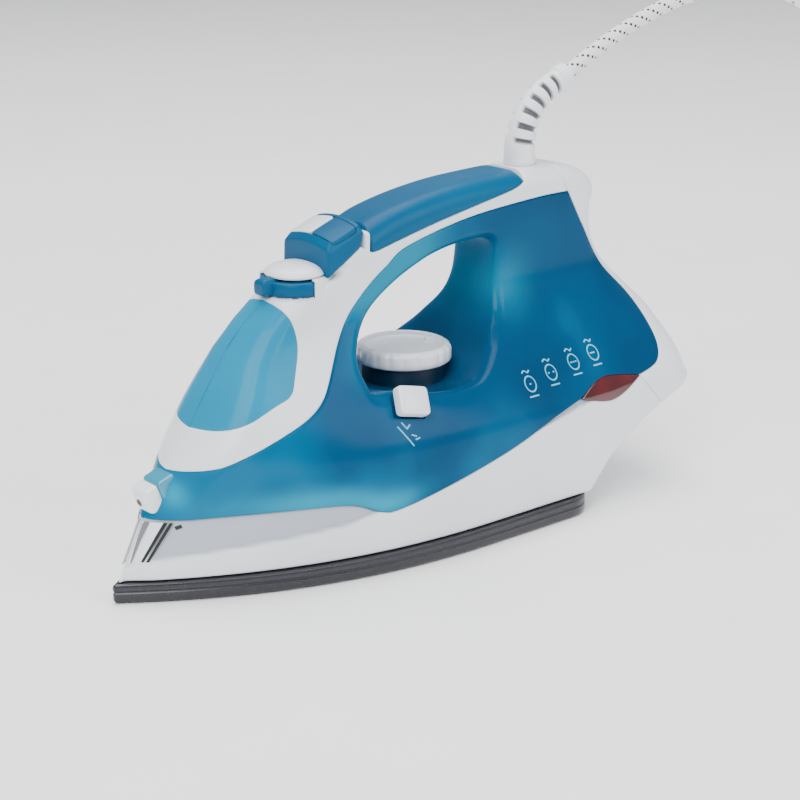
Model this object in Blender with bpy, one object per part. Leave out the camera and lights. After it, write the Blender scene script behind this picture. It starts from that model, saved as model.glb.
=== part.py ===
"""Steam iron, built as its separate pieces: sole, heater, skirt, water tank, handle, controls and lead.

Lengths at the top are in millimetres. Outlines are side views, as pairs of the distance from the tip
of the sole and the height above the ironing surface, drawn for an iron of the design length and height
and carried to the real one by station() and level(). The nose points to -X, the heel to +X.
"""
import math

import bmesh
import bpy
from mathutils import Matrix, Vector
from mathutils.geometry import delaunay_2d_cdt

MM = 0.001
WELD = 0.000002

# Overall sizes
LENGTH = 306.0
WIDTH = 108.0
HEIGHT = 157.5
SOLE_THICKNESS = 8.5
DESIGN_LENGTH = 306.0
DESIGN_WIDTH = 108.0
DESIGN_HEIGHT = 157.5
DESIGN_SOLE_TOP = 8.5

# Fits and walls
GAP = 0.3
CUTTER_SPARE = 20.0
RUNNING_CLEARANCE = 0.35
SHELL_WALL = 2.6
SOLE_OVERHANG = 3.0
SKIRT_HOLLOW_END = 256.0

# Body section
GRIP_HALF_WIDTH = 16.5
TANK_SHOULDER_LOW = 48.0
TANK_SHOULDER_HIGH = 112.0
WAIST_LENGTH = 170.0
BOW_POWER = 2.3
BOW_ROUNDING = 14.0
OPENING_EDGE_RADIUS = 5.0
EDGE_SHARE = 0.55
HEEL_EDGE_RADIUS = 20.0
UNDERSIDE_EDGE_RADIUS = 4.0

# Sole
SOLE_REAR = 233.0
SOLE_EDGE_CHAMFER = 1.2
VENT_RADIUS = 1.3
VENT_DEPTH = 4.5
SOLE_CORNER_RADIUS = 16.0
SOLE_TIP_HALF_WIDTH = 1.2
SOLE_TIP_SPREAD = 0.35
SOLE_TIP_REACH = 14.0
VENT_FIRST_STATION = 58.0
VENT_PITCH = 32.0
VENT_INSET = 17.0
NOSE_VENT_STATION = 30.0
VENT_COUNT = 5
CASTING_INSET = 9.0
CASTING_HEIGHT = 9.0
ELEMENT_RADIUS = 3.2
ELEMENT_HALF_SPAN = 22.0
CHAMBER_COVER_THICKNESS = 1.5
CHAMBER_COVER_INSET = 6.0
FUSE_STATION = 188.0
FUSE_SIZE = (18.0, 6.0, 5.0)
SCREW_HEAD_RADIUS = 3.2
SCREW_SHANK_RADIUS = 1.5
SCREW_LENGTH = 9.5
SCREW_STATION = 305.3
SCREW_LEVEL = 62.0
SCREW_HEAD_HEIGHT = 1.6
SCREW_HEAD_GAP = 0.5
SCREW_BORE_SPARE = 1.0

# Thermostat dial
DIAL_STATION = 158.0
DIAL_RADIUS = 22.0
DIAL_BASE = 76.6
DIAL_THICKNESS = 8.0
DIAL_RIM_WIDTH = 3.5
DIAL_DISH_DEPTH = 1.6
DIAL_ROOM_GAP = 1.5
POINTER_SIZE = (6.0, 2.0, 2.4)
POINTER_INSET = 4.0
COLLAR_RADIUS = 19.0
COLLAR_HEIGHT = 4.2
SHAFT_RADIUS = 3.0
TUNNEL_WALL = 2.0
THERMOSTAT_RADIUS = 9.0
THERMOSTAT_HEIGHT = 5.0

# Steam lever
LEVER_STATION = 97.5
LEVER_RADIUS = 14.2
LEVER_BASE = 119.0
LEVER_THICKNESS = 6.2
LEVER_KNOB_WIDTH = 8.0
KNOB_ROOM_LENGTH = 14.0
KNOB_ROOM_WIDTH = 40.0
LEVER_KNOB_LENGTH = 8.0
TURRET_TOP = 131.0
TURRET_INSET = 0.6
VALVE_ROD_RADIUS = 1.8

# Buttons
BUTTON_TILT = math.radians(20.8)
BUTTON_LENGTH = 13.5
BUTTON_WIDTH = 13.6
BUTTON_HEIGHT = 6.0
BUTTON_TRAVEL = 3.0
BUTTON_PROUD = 2.6
BUTTON_SPLIT = 1.0
PUMP_RADIUS = 4.6
PUMP_DEPTH = 11.0
PUMP_LENGTH = 11.0
PLUNGER_ENTRY = 4.0
PLUNGER_RADIUS = 1.6

# Self-clean button
CLEAN_STATION = 127.5
CLEAN_LEVEL = 71.0
CLEAN_TILT = math.radians(33.0)
CLEAN_LENGTH = 15.5
CLEAN_WIDTH = 13.0
CLEAN_THICKNESS = 6.5
CLEAN_TRAVEL = 2.5
CLEAN_SEAT_DEPTH = 3.0
CLEAN_STEM_RADIUS = 2.2
CLEAN_SEAT_GAP = 0.8
CLEAN_BOSS_DEPTH = 12.0
BOSS_WALL = 2.5
CLEAN_STEM_ROOM = 16.0
CLEAN_STEM_LENGTH = 9.0

# Spray nozzle
NOZZLE_STATION = 24.0
NOZZLE_LEVEL = 45.0
NOZZLE_DROOP = math.radians(20.0)
NOZZLE_COLLAR = 1.5
NOZZLE_CAP_WIDTH = 11.0
NOZZLE_CAP_LENGTH = 7.0
NOZZLE_NECK_RADIUS = 4.6
NOZZLE_NECK_LENGTH = 8.0
NOZZLE_ROOM_REACH = 24.0
NOZZLE_BOSS_LENGTH = 14.0
NOZZLE_BOSS_WALL = 2.0

# Filler
FILLER_STATION = 65.5
FILLER_TOP = 86.0
FILLER_BASE = 62.5
FILLER_RADIUS = 8.6
FILLER_BORE = 6.8
FILLER_SOCKET_DEPTH = 4.0
VISOR_WALL = 2.0
HINGE_STATION = 46.0
HINGE_LEVEL = 72.8
HINGE_PIN_RADIUS = 1.2
HINGE_PIN_LENGTH = 12.0
TAB_WIDTH = 9.0

# Lead
TERMINAL_STATION = 290.0
TERMINAL_SIZE = (8.0, 26.0, 12.0)
WIRE_WAY = ((272.0, 54.0), (283.0, 75.0))
WIRE_WAY_RADIUS = 4.0
SWIVEL_STATION = 228.5
SWIVEL_RADIUS = 7.6
SWIVEL_FLOOR = 148.0
SWIVEL_ROOM_GAP = 0.8
GUARD_MOUTH_RADIUS = 5.6
CORD_RADIUS = 3.5
CORD_GAP = 0.3
CORD_ROUTE = (
    (257, 0, 196), (270, 0, 203), (285, -0.3, 210), (300, -1, 216.3), (322, -2.5, 224),
    (348, -5, 229.5), (376, -8, 230.5), (402, -12, 225), (424, -16, 212), (440, -20, 191),
    (450, -24, 162), (456, -28, 127), (461, -32, 91), (468, -37, 58), (480, -44, 30),
    (500, -52, 10.5), (525, -58, 4.3), (550, -60, 4.0),
)
GUARD_ROUTE = ((228.5, 0, 158.5), (228.6, 0, 168), (232, 0, 178.5), (239, 0, 187), (248, 0, 192.4),
               (256.7, 0, 195.8))
COIL_STATION = 550.0
COIL_SIDE = -5.0
COIL_INNER_RADIUS = 28.0
COIL_OUTER_RADIUS = 49.0
COIL_HEIGHT = 14.2
TIE_WIDTH = 10.0
TIE_THICKNESS = 1.2
PLUG_BACK = 28.0
PLUG_SIDE = -20.0
PLUG_LENGTH = 32.0
PLUG_WIDTH = 26.0
PLUG_HEIGHT = 22.0
PLUG_PIN_RADIUS = 2.2
PLUG_PIN_LENGTH = 18.0
PLUG_PIN_SPACING = 14.0

# Side-view curves (distance from the sole's tip, height)
RIDGE = (
    (3.2, 9.0), (15.5, 34.8), (28, 53.6), (40, 69.4), (58, 97), (68, 108), (80, 117.5),
    (90, 123), (97, 125.3), (103.2, 126),
)
TANK_FOOT = ((17, 34.8), (53, 35), (92, 33.2), (108, 27.4), (118, 27), (150, 34), (182, 42), (205, 50),
             (224, 55.5))
LENS_TOP = ((224, 55.5), (241, 62), (264, 58.8))
LENS_FOOT = ((264, 58.8), (245, 51), (224, 55.5))
TANK_BACK = ((264, 58.8), (279, 63), (284, 75), (281, 91), (269, 106.5), (256, 126), (245, 145))
BAND = (
    (28, 53.6), (38, 55.5), (51, 60), (66, 66), (80, 72), (89, 78), (96, 86), (105, 98), (114, 109),
    (125, 119.5), (135, 126.5), (147, 133.5), (182, 141), (223, 144.5), (245, 145),
)
VISOR_BACK = ((40, 69.4), (50, 72), (66, 78.5), (75, 82), (79.5, 89), (84, 99), (84, 107), (80, 117.5))
OPENING = (
    (114, 77), (113, 87), (117, 96), (124, 105), (133, 112.5), (143, 118.5), (153, 123), (163, 126.5),
    (176, 129), (190, 129.8), (197, 129), (200, 125), (197, 116), (192, 106), (187, 96.5), (181, 86),
    (174, 78.5), (165, 75.6), (140, 75.4), (120, 75.4),
)
BLOCK_FOOT = ((103.2, 126), (121, 137))
BLOCK_FRONT = ((103.2, 137.4), (105.5, 139.8))
BLOCK_BACK = ((121, 137), (122.8, 143), (121, 145.8))
BLOCK_TOP_BACK = (119.5, 145.2)
GRIP_TOP = ((127.8, 145), (136, 148.3), (148, 151.3), (163, 154), (182, 156.2), (206, 157.3), (215, 157.5))
GRIP_FOOT = ((217.5, 152.8), (210, 150.2), (189, 146.3), (165, 141.8), (142, 136.8), (131, 134.2),
             (127, 133.8))
CAP_TOP = ((218.5, 157.5), (240, 157.5))
REAR = (
    (240, 157.5), (252, 155.5), (262, 150.5), (266, 143), (264, 133), (266, 121), (274, 108), (286, 96),
    (297, 84), (303.5, 70), (306.15, 57),
)
REAR_HOLLOW = (
    (262, 57), (268, 50), (280, 47), (296, 52), (301, 58), (299, 69), (292, 82), (283, 90), (286, 75),
    (281, 62),
)
HEEL_TOP = ((306.15, 57), (304.5, 51.5), (297, 48.3), (279, 41.4))
HEEL_FOOT = ((279, 41.4), (262, 33), (247, 23.5), (238, 14), (233.5, 9.0))


# ---------------------------------------------------------------- placing

def station(s):
    """X of a distance from the tip of the sole, in metres; the iron's middle is at X = 0."""
    return (s / DESIGN_LENGTH - 0.5) * LENGTH * MM


def level(z):
    """Height in metres: the sole keeps its own thickness and the rest stretches above it."""
    if z <= DESIGN_SOLE_TOP:
        return z * SOLE_THICKNESS / DESIGN_SOLE_TOP * MM
    above = (z - DESIGN_SOLE_TOP) * (HEIGHT - SOLE_THICKNESS) / (DESIGN_HEIGHT - DESIGN_SOLE_TOP)
    return (SOLE_THICKNESS + above) * MM


def across(y):
    """Y in metres of a distance from the middle plane, which widens with the iron."""
    return y * WIDTH / DESIGN_WIDTH * MM


def smooth_step(t):
    t = min(max(t, 0.0), 1.0)
    return t * t * (3.0 - 2.0 * t)


def along(points, value, axis, other):
    """Straight-line reading of one coordinate of a curve from the other."""
    ordered = sorted(points, key=lambda point: point[axis])
    if value <= ordered[0][axis]:
        return ordered[0][other]
    for low, high in zip(ordered, ordered[1:]):
        if value <= high[axis]:
            share = (value - low[axis]) / max(high[axis] - low[axis], 1e-9)
            return low[other] + share * (high[other] - low[other])
    return ordered[-1][other]


def curve_through(points, spacing):
    """Catmull-Rom curve through the points, with a point about every spacing."""
    found = []
    count = len(points)
    for i in range(count - 1):
        before = points[max(i - 1, 0)]
        start, end = points[i], points[i + 1]
        after = points[min(i + 2, count - 1)]
        steps = max(1, round(math.dist(start, end) / spacing))
        for k in range(steps):
            t = k / steps
            found.append(tuple(
                0.5 * (
                    2 * b + (c - a) * t + (2 * a - 5 * b + 4 * c - d) * t * t
                    + (3 * b - a - 3 * c + d) * t ** 3
                )
                for a, b, c, d in zip(before, start, end, after)
            ))
    found.append(tuple(points[-1]))
    return found


def joined(*curves, spacing=7.0):
    """One closed outline from curves laid end to end, each smooth in itself."""
    outline = []
    for curve in curves:
        for point in curve_through(curve, spacing):
            if not outline or math.dist(point, outline[-1]) > 0.05:
                outline.append(point)
    if math.dist(outline[0], outline[-1]) < 0.05:
        outline.pop()
    return outline


def signed_area(outline):
    return 0.5 * sum(
        a[0] * b[1] - b[0] * a[1] for a, b in zip(outline, outline[1:] + outline[:1])
    )


def inset(outline, distance):
    """The outline moved inwards by a distance, along the mean of the two edge normals at each corner."""
    turn = 1.0 if signed_area(outline) > 0 else -1.0
    moved = []
    count = len(outline)
    for i, here in enumerate(outline):
        before = Vector(outline[i - 1])
        after = Vector(outline[(i + 1) % count])
        point = Vector(here)
        first = (point - before).normalized()
        second = (after - point).normalized()
        normal = Vector((-(first.y + second.y), first.x + second.x)) * turn
        if normal.length < 1e-6:
            normal = Vector((-first.y, first.x)) * turn
        normal.normalize()
        cosine = max(abs(normal.dot(Vector((-first.y, first.x)))), 0.5)
        moved.append(tuple(point + normal * distance / cosine))
    whole = outline + outline[:1]
    return [point for point in moved if distance_to(point, whole) > 0.9 * abs(distance)]


def inside(point, outline):
    hit = False
    x, z = point
    for (ax, az), (bx, bz) in zip(outline, outline[1:] + outline[:1]):
        if (az > z) != (bz > z) and x < (bx - ax) * (z - az) / (bz - az) + ax:
            hit = not hit
    return hit


def distance_to(point, curve):
    """Shortest distance from a point to an open polyline."""
    best = 1e9
    here = Vector(point)
    for a, b in zip(curve, curve[1:]):
        start, step = Vector(a), Vector(b) - Vector(a)
        t = max(0.0, min(1.0, (here - start).dot(step) / max(step.length_squared, 1e-12)))
        best = min(best, (here - start - step * t).length)
    return best


# ---------------------------------------------------------------- body section

SILHOUETTE_TOP = curve_through(BLOCK_FRONT, 6) + curve_through(GRIP_TOP, 6) + curve_through(REAR, 6)
SILHOUETTE_UNDER = curve_through(HEEL_TOP, 5) + curve_through(HEEL_FOOT, 5)
OPENING_LOOP = joined(OPENING + OPENING[:1], spacing=6.0)


def edge_loss(depth, radius):
    """How much a rounded edge of this radius takes off the half width at this depth from the edge."""
    if depth >= radius:
        return 0.0
    return radius - math.sqrt(max(radius * radius - (radius - depth) ** 2, 0.0))


def half_width(s, z):
    """Half width of the outer surface: the bow's plan, drawn in above the tank's shoulder."""
    bow = (DESIGN_WIDTH / 2 - SOLE_OVERHANG) * (1.0 - max(0.0, 1.0 - (s - 2.0) / WAIST_LENGTH) ** BOW_POWER)
    rise = smooth_step((z - TANK_SHOULDER_LOW) / (TANK_SHOULDER_HIGH - TANK_SHOULDER_LOW))
    wide = bow + (min(GRIP_HALF_WIDTH, bow) - bow) * rise
    nose = min(max((s - along(RIDGE, z, 1, 0)) / BOW_ROUNDING, 0.0), 1.0)
    if z < RIDGE[-1][1] + 4.0:
        wide *= math.sqrt(max(1.0 - (1.0 - nose) ** 2, 0.0))
    if z > LEVER_BASE - 0.6:
        turret = LEVER_RADIUS - TURRET_INSET
        ahead = LEVER_STATION - s
        wide = min(wide, math.sqrt(max(turret ** 2 - max(ahead, 0.0) ** 2, 0.0)) + max(-ahead, 0.0))
    top_radius = min(EDGE_SHARE * wide, HEEL_EDGE_RADIUS)
    wide -= edge_loss(distance_to((s, z), SILHOUETTE_TOP), top_radius)
    wide -= edge_loss(distance_to((s, z), SILHOUETTE_UNDER), min(UNDERSIDE_EDGE_RADIUS, 0.4 * wide))
    wide -= edge_loss(distance_to((s, z), OPENING_LOOP + OPENING_LOOP[:1]),
                      min(OPENING_EDGE_RADIUS, 0.4 * wide))
    return max(wide, 1.2)


# ---------------------------------------------------------------- objects

def clear_scene():
    for old in list(bpy.data.objects):
        bpy.data.objects.remove(old, do_unlink=True)


def material(name, colour, roughness, metallic=0.0, transmission=0.0):
    found = bpy.data.materials.get(name)
    if found:
        return found
    made = bpy.data.materials.new(name)
    made.use_nodes = True
    shader = made.node_tree.nodes["Principled BSDF"]
    shader.inputs["Base Color"].default_value = (*colour, 1.0)
    shader.inputs["Roughness"].default_value = roughness
    shader.inputs["Metallic"].default_value = metallic
    shader.inputs["Transmission Weight"].default_value = transmission
    made.diffuse_color = (*colour, 1.0)
    return made


def white_abs():
    return material("white_abs", (0.70, 0.74, 0.80), 0.3)


def blue_tank():
    return material("blue_tank", (0.0, 0.14, 0.32), 0.12, transmission=0.3)


def blue_abs():
    return material("blue_abs", (0.005, 0.13, 0.30), 0.35)


def cyan_visor():
    return material("cyan_visor", (0.0, 0.42, 0.62), 0.08, transmission=0.5)


def aluminium():
    return material("aluminium", (0.6, 0.6, 0.62), 0.4, 1.0)


def steel():
    return material("steel", (0.55, 0.56, 0.58), 0.3, 1.0)


def black_rubber():
    return material("black_rubber", (0.02, 0.02, 0.022), 0.6)


def from_bmesh(name, shape, finish):
    """A new object of this name from a bmesh, its faces turned outwards."""
    bmesh.ops.recalc_face_normals(shape, faces=shape.faces)
    mesh = bpy.data.meshes.new(name)
    shape.to_mesh(mesh)
    shape.free()
    mesh.materials.append(finish)
    made = bpy.data.objects.new(name, mesh)
    bpy.context.scene.collection.objects.link(made)
    return made


def soften(piece, angle=math.radians(35)):
    piece.data.shade_smooth()
    piece.data.set_sharp_from_angle(angle=angle)
    return piece


def bake(piece):
    """Replaces the piece's mesh by what its modifiers make of it."""
    graph = bpy.context.evaluated_depsgraph_get()
    graph.update()
    mesh = bpy.data.meshes.new_from_object(piece.evaluated_get(graph))
    piece.modifiers.clear()
    shape = bmesh.new()
    shape.from_mesh(mesh)
    bmesh.ops.remove_doubles(shape, verts=shape.verts, dist=WELD)
    bmesh.ops.triangulate(shape, faces=shape.faces)
    shape.to_mesh(mesh)
    shape.free()
    piece.data = mesh
    return piece


def combine(piece, other, operation):
    """Cuts, joins or crosses the piece with another object, which is used up."""
    step = piece.modifiers.new(operation.lower(), "BOOLEAN")
    step.operation = operation
    step.solver = "EXACT"
    step.object = other
    bpy.context.view_layer.update()
    bake(piece)
    bpy.data.objects.remove(other, do_unlink=True)
    return piece


def cut(piece, *others):
    for other in others:
        combine(piece, other, "DIFFERENCE")
    return piece


def join(piece, *others):
    for other in others:
        combine(piece, other, "UNION")
    return piece


def slab(name, outline, finish, shrink=0.0, hole=None, grid=11.0, rings=(1.6, 4.5)):
    """Solid whose side view is the outline, and whose sides follow the body section less shrink."""
    loops = [outline] + ([hole] if hole else [])
    points, edges = [], []
    for loop in loops:
        first = len(points)
        points += loop
        edges += [(first + i, first + (i + 1) % len(loop)) for i in range(len(loop))]
    inner = []
    for depth in rings:
        inner += inset(outline, depth)
        if hole:
            inner += inset(hole, -depth)
    low_s, high_s = min(p[0] for p in outline), max(p[0] for p in outline)
    low_z, high_z = min(p[1] for p in outline), max(p[1] for p in outline)
    rows = int((high_z - low_z) / grid) + 1
    columns = int((high_s - low_s) / grid) + 1
    for i in range(columns):
        for j in range(rows):
            inner.append((low_s + (i + 0.5) * grid, low_z + (j + 0.5) * grid))
    for point in inner:
        near = min(distance_to(point, loop + loop[:1]) for loop in loops)
        apart = min((math.dist(point, other) for other in points), default=9.0)
        if near > 1.2 and apart > 2.6 and inside(point, outline) and not (hole and inside(point, hole)):
            points.append(point)
    flat, _, faces, *_ = delaunay_2d_cdt([Vector(p) for p in points], edges, [], 0, 1e-6)
    shape = bmesh.new()
    near_side, far_side = [], []
    for point in flat:
        reach = max(half_width(point.x, point.y) - shrink, 0.4)
        near_side.append(shape.verts.new((station(point.x), across(-reach), level(point.y))))
        far_side.append(shape.verts.new((station(point.x), across(reach), level(point.y))))
    open_edges = {}
    for face in faces:
        middle = tuple(sum(flat[i][k] for i in face) / 3 for k in (0, 1))
        if not inside(middle, outline) or (hole and inside(middle, hole)):
            continue
        shape.faces.new([near_side[i] for i in face])
        shape.faces.new([far_side[i] for i in reversed(face)])
        for a, b in zip(face, face[1:] + face[:1]):
            if (b, a) in open_edges:
                del open_edges[(b, a)]
            else:
                open_edges[(a, b)] = True
    for a, b in open_edges:
        shape.faces.new((near_side[b], near_side[a], far_side[a], far_side[b]))
    bmesh.ops.delete(shape, geom=[v for v in shape.verts if not v.link_faces], context="VERTS")
    return soften(from_bmesh(name, shape, finish))


def turned(name, profile, centre, finish, segments=28, turn=None):
    """Solid turned about a vertical line: profile holds (radius, height) in metres."""
    shape = bmesh.new()
    rings = []
    for radius, height in profile:
        if radius < 1e-7:
            rings.append([shape.verts.new((0, 0, height))])
        else:
            rings.append([
                shape.verts.new((
                    radius * math.cos(2 * math.pi * k / segments),
                    radius * math.sin(2 * math.pi * k / segments),
                    height,
                ))
                for k in range(segments)
            ])
    closed = rings if rings[0] == rings[-1] or len(rings[0]) == 1 else rings + rings[:1]
    for low, high in zip(closed, closed[1:]):
        for k in range(segments):
            after = (k + 1) % segments
            corners = [low[k % len(low)], low[after % len(low)], high[after % len(high)], high[k % len(high)]]
            distinct = list(dict.fromkeys(corners))
            if len(distinct) > 2:
                shape.faces.new(distinct)
    bmesh.ops.transform(
        shape, matrix=Matrix.Translation(Vector(centre)) @ (turn or Matrix.Identity(4)), verts=shape.verts
    )
    return soften(from_bmesh(name, shape, finish))


def rod(name, start, end, radius, finish, segments=16):
    """Round bar between two points."""
    start, end = Vector(start), Vector(end)
    turn = (end - start).to_track_quat("Z", "Y").to_matrix().to_4x4()
    reach = (end - start).length
    profile = [(0, 0), (radius, 0), (radius, reach), (0, reach)]
    return turned(name, profile, start, finish, segments, turn)


def block(name, centre, size, finish, turn=None, bevel=0.0, segments=2):
    """Box of this size about a centre, turned, with its edges rounded."""
    shape = bmesh.new()
    bmesh.ops.create_cube(shape, size=1.0)
    bmesh.ops.scale(shape, vec=size, verts=shape.verts)
    if bevel:
        bmesh.ops.bevel(
            shape, geom=shape.edges[:], offset=bevel, segments=segments, profile=0.5, affect="EDGES"
        )
    bmesh.ops.transform(
        shape, matrix=Matrix.Translation(Vector(centre)) @ (turn or Matrix.Identity(4)), verts=shape.verts
    )
    return soften(from_bmesh(name, shape, finish))


def plate(name, outline, low, high, finish, chamfer=0.0):
    """Flat plate from a plan outline in metres."""
    shape = bmesh.new()
    face = shape.faces.new([shape.verts.new((x, y, low)) for x, y in outline])
    raised = bmesh.ops.extrude_face_region(shape, geom=[face])["geom"]
    bmesh.ops.translate(shape, vec=(0, 0, high - low),
                        verts=[v for v in raised if isinstance(v, bmesh.types.BMVert)])
    if chamfer:
        rim = [e for e in shape.edges if abs(e.verts[0].co.z - e.verts[1].co.z) < 1e-9]
        bmesh.ops.bevel(shape, geom=rim, offset=chamfer, segments=1, affect="EDGES")
    return soften(from_bmesh(name, shape, finish))


# ---------------------------------------------------------------- sole and heater

def sole_half_width(s):
    return WIDTH / 2 * (1.0 - max(0.0, 1.0 - s / WAIST_LENGTH) ** BOW_POWER)


def sole_plan(margin):
    """Plan of the sole drawn in by a margin: bow formula, straight flanks and a rear with round corners."""
    corner = SOLE_CORNER_RADIUS
    tip = margin * 2.2
    stations = [tip + SOLE_TIP_REACH * (k / 4) ** 2 for k in range(5)]
    stations += [s for s in (32, 48, 66, 86, 108, 132, 158, 186) if s > tip + 16.0]
    rear = SOLE_REAR - margin
    near = []
    for s in stations:
        least = SOLE_TIP_HALF_WIDTH + SOLE_TIP_SPREAD * min(s - tip, SOLE_TIP_REACH)
        near.append((s, max(sole_half_width(s + 1.0) - margin, least)))
    side = sole_half_width(rear) - margin
    for k in range(7):
        angle = math.pi / 2 * k / 6
        near.append((rear - corner + corner * math.sin(angle), side - corner + corner * math.cos(angle)))
    far = [(s, -y) for s, y in reversed(near)]
    return [(station(s), y * MM) for s, y in near + far]


def build_soleplate():
    sole = plate(
        "soleplate", sole_plan(0.0), 0.0, SOLE_THICKNESS * MM,
        material("ceramic_coat", (0.03, 0.03, 0.038), 0.3, 0.4), SOLE_EDGE_CHAMFER * MM,
    )
    for row in (-1, 1):
        for k in range(VENT_COUNT):
            s = VENT_FIRST_STATION + VENT_PITCH * k
            y = row * (sole_half_width(s) - VENT_INSET) * MM
            vent = rod(
                "vent", (station(s), y, -0.001), (station(s), y, VENT_DEPTH * MM), VENT_RADIUS * MM,
                steel(), 8
            )
            cut(sole, vent)
    nose_x = station(NOSE_VENT_STATION)
    nose_vent = rod(
        "vent", (nose_x, 0, -0.001), (nose_x, 0, VENT_DEPTH * MM), VENT_RADIUS * MM, steel(), 8
    )
    return cut(sole, nose_vent)


def element_route():
    """Plan of the hairpin element: up one flank, round the nose and back down the other."""
    half = ELEMENT_HALF_SPAN * WIDTH / DESIGN_WIDTH
    return ((212, -half), (150, -half), (96, -half * 0.85), (66, -half * 0.4), (60, 0),
            (66, half * 0.4), (96, half * 0.85), (150, half), (212, half))


def tube(name, points, radius, finish, resolution=2, radii=None):
    """Round cord along points in metres, with flat ends."""
    curve = bpy.data.curves.new(name, "CURVE")
    curve.dimensions = "3D"
    curve.bevel_depth = radius
    curve.bevel_resolution = resolution
    curve.use_fill_caps = True
    line = curve.splines.new("POLY")
    line.points.add(len(points) - 1)
    for i, point in enumerate(points):
        line.points[i].co = (*point, 1.0)
        if radii:
            line.points[i].radius = radii[i]
    curve.materials.append(finish)
    made = bpy.data.objects.new(name, curve)
    bpy.context.scene.collection.objects.link(made)
    return made


def build_heater():
    low = SOLE_THICKNESS * MM + GAP * MM
    high = low + CASTING_HEIGHT * MM
    casting = plate("heater_casting", sole_plan(CASTING_INSET), low, high, aluminium(), 0.001)
    route = curve_through(element_route(), 9.0)
    points = [(station(s), y * MM, high) for s, y in route]
    groove = tube("groove", points, (ELEMENT_RADIUS + GAP) * MM, steel())
    groove = mesh_of(groove)
    cut(casting, groove)
    tube("heating_element", points, ELEMENT_RADIUS * MM, steel())
    cover_low = high + ELEMENT_RADIUS * MM + GAP * MM
    plan = sole_plan(CASTING_INSET + CHAMBER_COVER_INSET)
    cover = plate(
        "steam_chamber_cover", plan, cover_low, cover_low + CHAMBER_COVER_THICKNESS * MM, steel()
    )
    return casting, cover, cover_low + CHAMBER_COVER_THICKNESS * MM


def mesh_of(curve_piece):
    """The curve turned into a mesh object, so that a Boolean can take it."""
    graph = bpy.context.evaluated_depsgraph_get()
    mesh = bpy.data.meshes.new_from_object(curve_piece.evaluated_get(graph))
    name = curve_piece.name
    bpy.data.objects.remove(curve_piece, do_unlink=True)
    made = bpy.data.objects.new(name, mesh)
    bpy.context.scene.collection.objects.link(made)
    welded = made.modifiers.new("weld", "WELD")
    welded.merge_threshold = 0.00001
    return bake(made)


def build_thermostat(cover_top):
    base = cover_top + GAP * MM
    top = base + THERMOSTAT_HEIGHT * MM
    axis_x = station(DIAL_STATION)
    profile = [(0, base), (THERMOSTAT_RADIUS * MM, base), (THERMOSTAT_RADIUS * MM, top - 0.001),
               ((THERMOSTAT_RADIUS - 1) * MM, top), (0, top)]
    turned("thermostat", profile, (axis_x, 0, 0), steel(), 20)
    size = tuple(length * MM for length in FUSE_SIZE)
    block("thermal_fuse", (station(FUSE_STATION), 0, base + size[2] / 2), size, black_rubber(), bevel=0.001)
    return top


# ---------------------------------------------------------------- shells

def skirt_outline():
    under = joined(
        RIDGE[:2], TANK_FOOT, (LENS_FOOT[2], LENS_FOOT[1]), (LENS_FOOT[1], HEEL_FOOT[0]), HEEL_FOOT
    )
    return inset(under, GAP / 2)


def nose_trim_outline():
    return [(7.2, 16.5), (15.9, 34.2), (27, 34.2), (20.5, 26), (13.5, 18)]


def build_skirt():
    finish = white_abs()
    skirt = slab("skirt", skirt_outline(), finish)
    hollow = inset(skirt_outline(), SHELL_WALL)
    low = min(p[1] for p in hollow)
    deep = [(s, z - 8.0 if z < low + 1.5 else z) for s, z in hollow if s < SKIRT_HOLLOW_END]
    cut(skirt, slab("hollow", deep, finish, shrink=SHELL_WALL))
    cut(skirt, slab("trim_seat", nose_trim_outline(), finish, shrink=-3.0, rings=()))
    cut(skirt, nozzle_room(finish))
    slab("nose_trim", inset(nose_trim_outline(), GAP), material("chrome", (0.75, 0.76, 0.78), 0.12, 1.0),
         rings=())
    return skirt


def tank_outline():
    return inset(joined(
        RIDGE[1:3], BAND, tuple(reversed(TANK_BACK)), (LENS_TOP[2], LENS_TOP[1]), (LENS_TOP[1], LENS_TOP[0]),
        tuple(reversed(TANK_FOOT)),
    ), GAP / 2)


def opening_outline(margin=0.0):
    return inset(OPENING_LOOP, -margin)


def dial_axis():
    return station(DIAL_STATION)


def lever_axis():
    return station(LEVER_STATION)


def clean_frame():
    """Place and turn of the self-clean button: its own Z points out of the tank's near shoulder."""
    outward = Vector((0, -math.cos(CLEAN_TILT), math.sin(CLEAN_TILT)))
    reach = half_width(CLEAN_STATION, CLEAN_LEVEL)
    centre = Vector((station(CLEAN_STATION), across(-reach), level(CLEAN_LEVEL)))
    sideways = Vector((1, 0, 0))
    turn = Matrix((sideways, outward.cross(sideways), outward)).transposed().to_4x4()
    return centre, outward, turn


def nozzle_frame():
    """Place and direction of the spray nozzle, which points ahead and a little down."""
    centre = Vector((station(NOZZLE_STATION), 0, level(NOZZLE_LEVEL)))
    ahead = Vector((-math.cos(NOZZLE_DROOP), 0, -math.sin(NOZZLE_DROOP)))
    return centre, ahead


def nozzle_room(finish):
    """Cutter that clears the nose round the nozzle cap."""
    centre, ahead = nozzle_frame()
    turn = (-ahead).to_track_quat("X", "Z").to_matrix().to_4x4()
    reach = NOZZLE_ROOM_REACH * MM
    size = (NOZZLE_CAP_WIDTH + 2 * GAP) * MM
    middle = centre + ahead * (NOZZLE_COLLAR * MM + reach / 2)
    return block("nozzle_room", middle, (reach, size, size), finish, turn)


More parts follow.
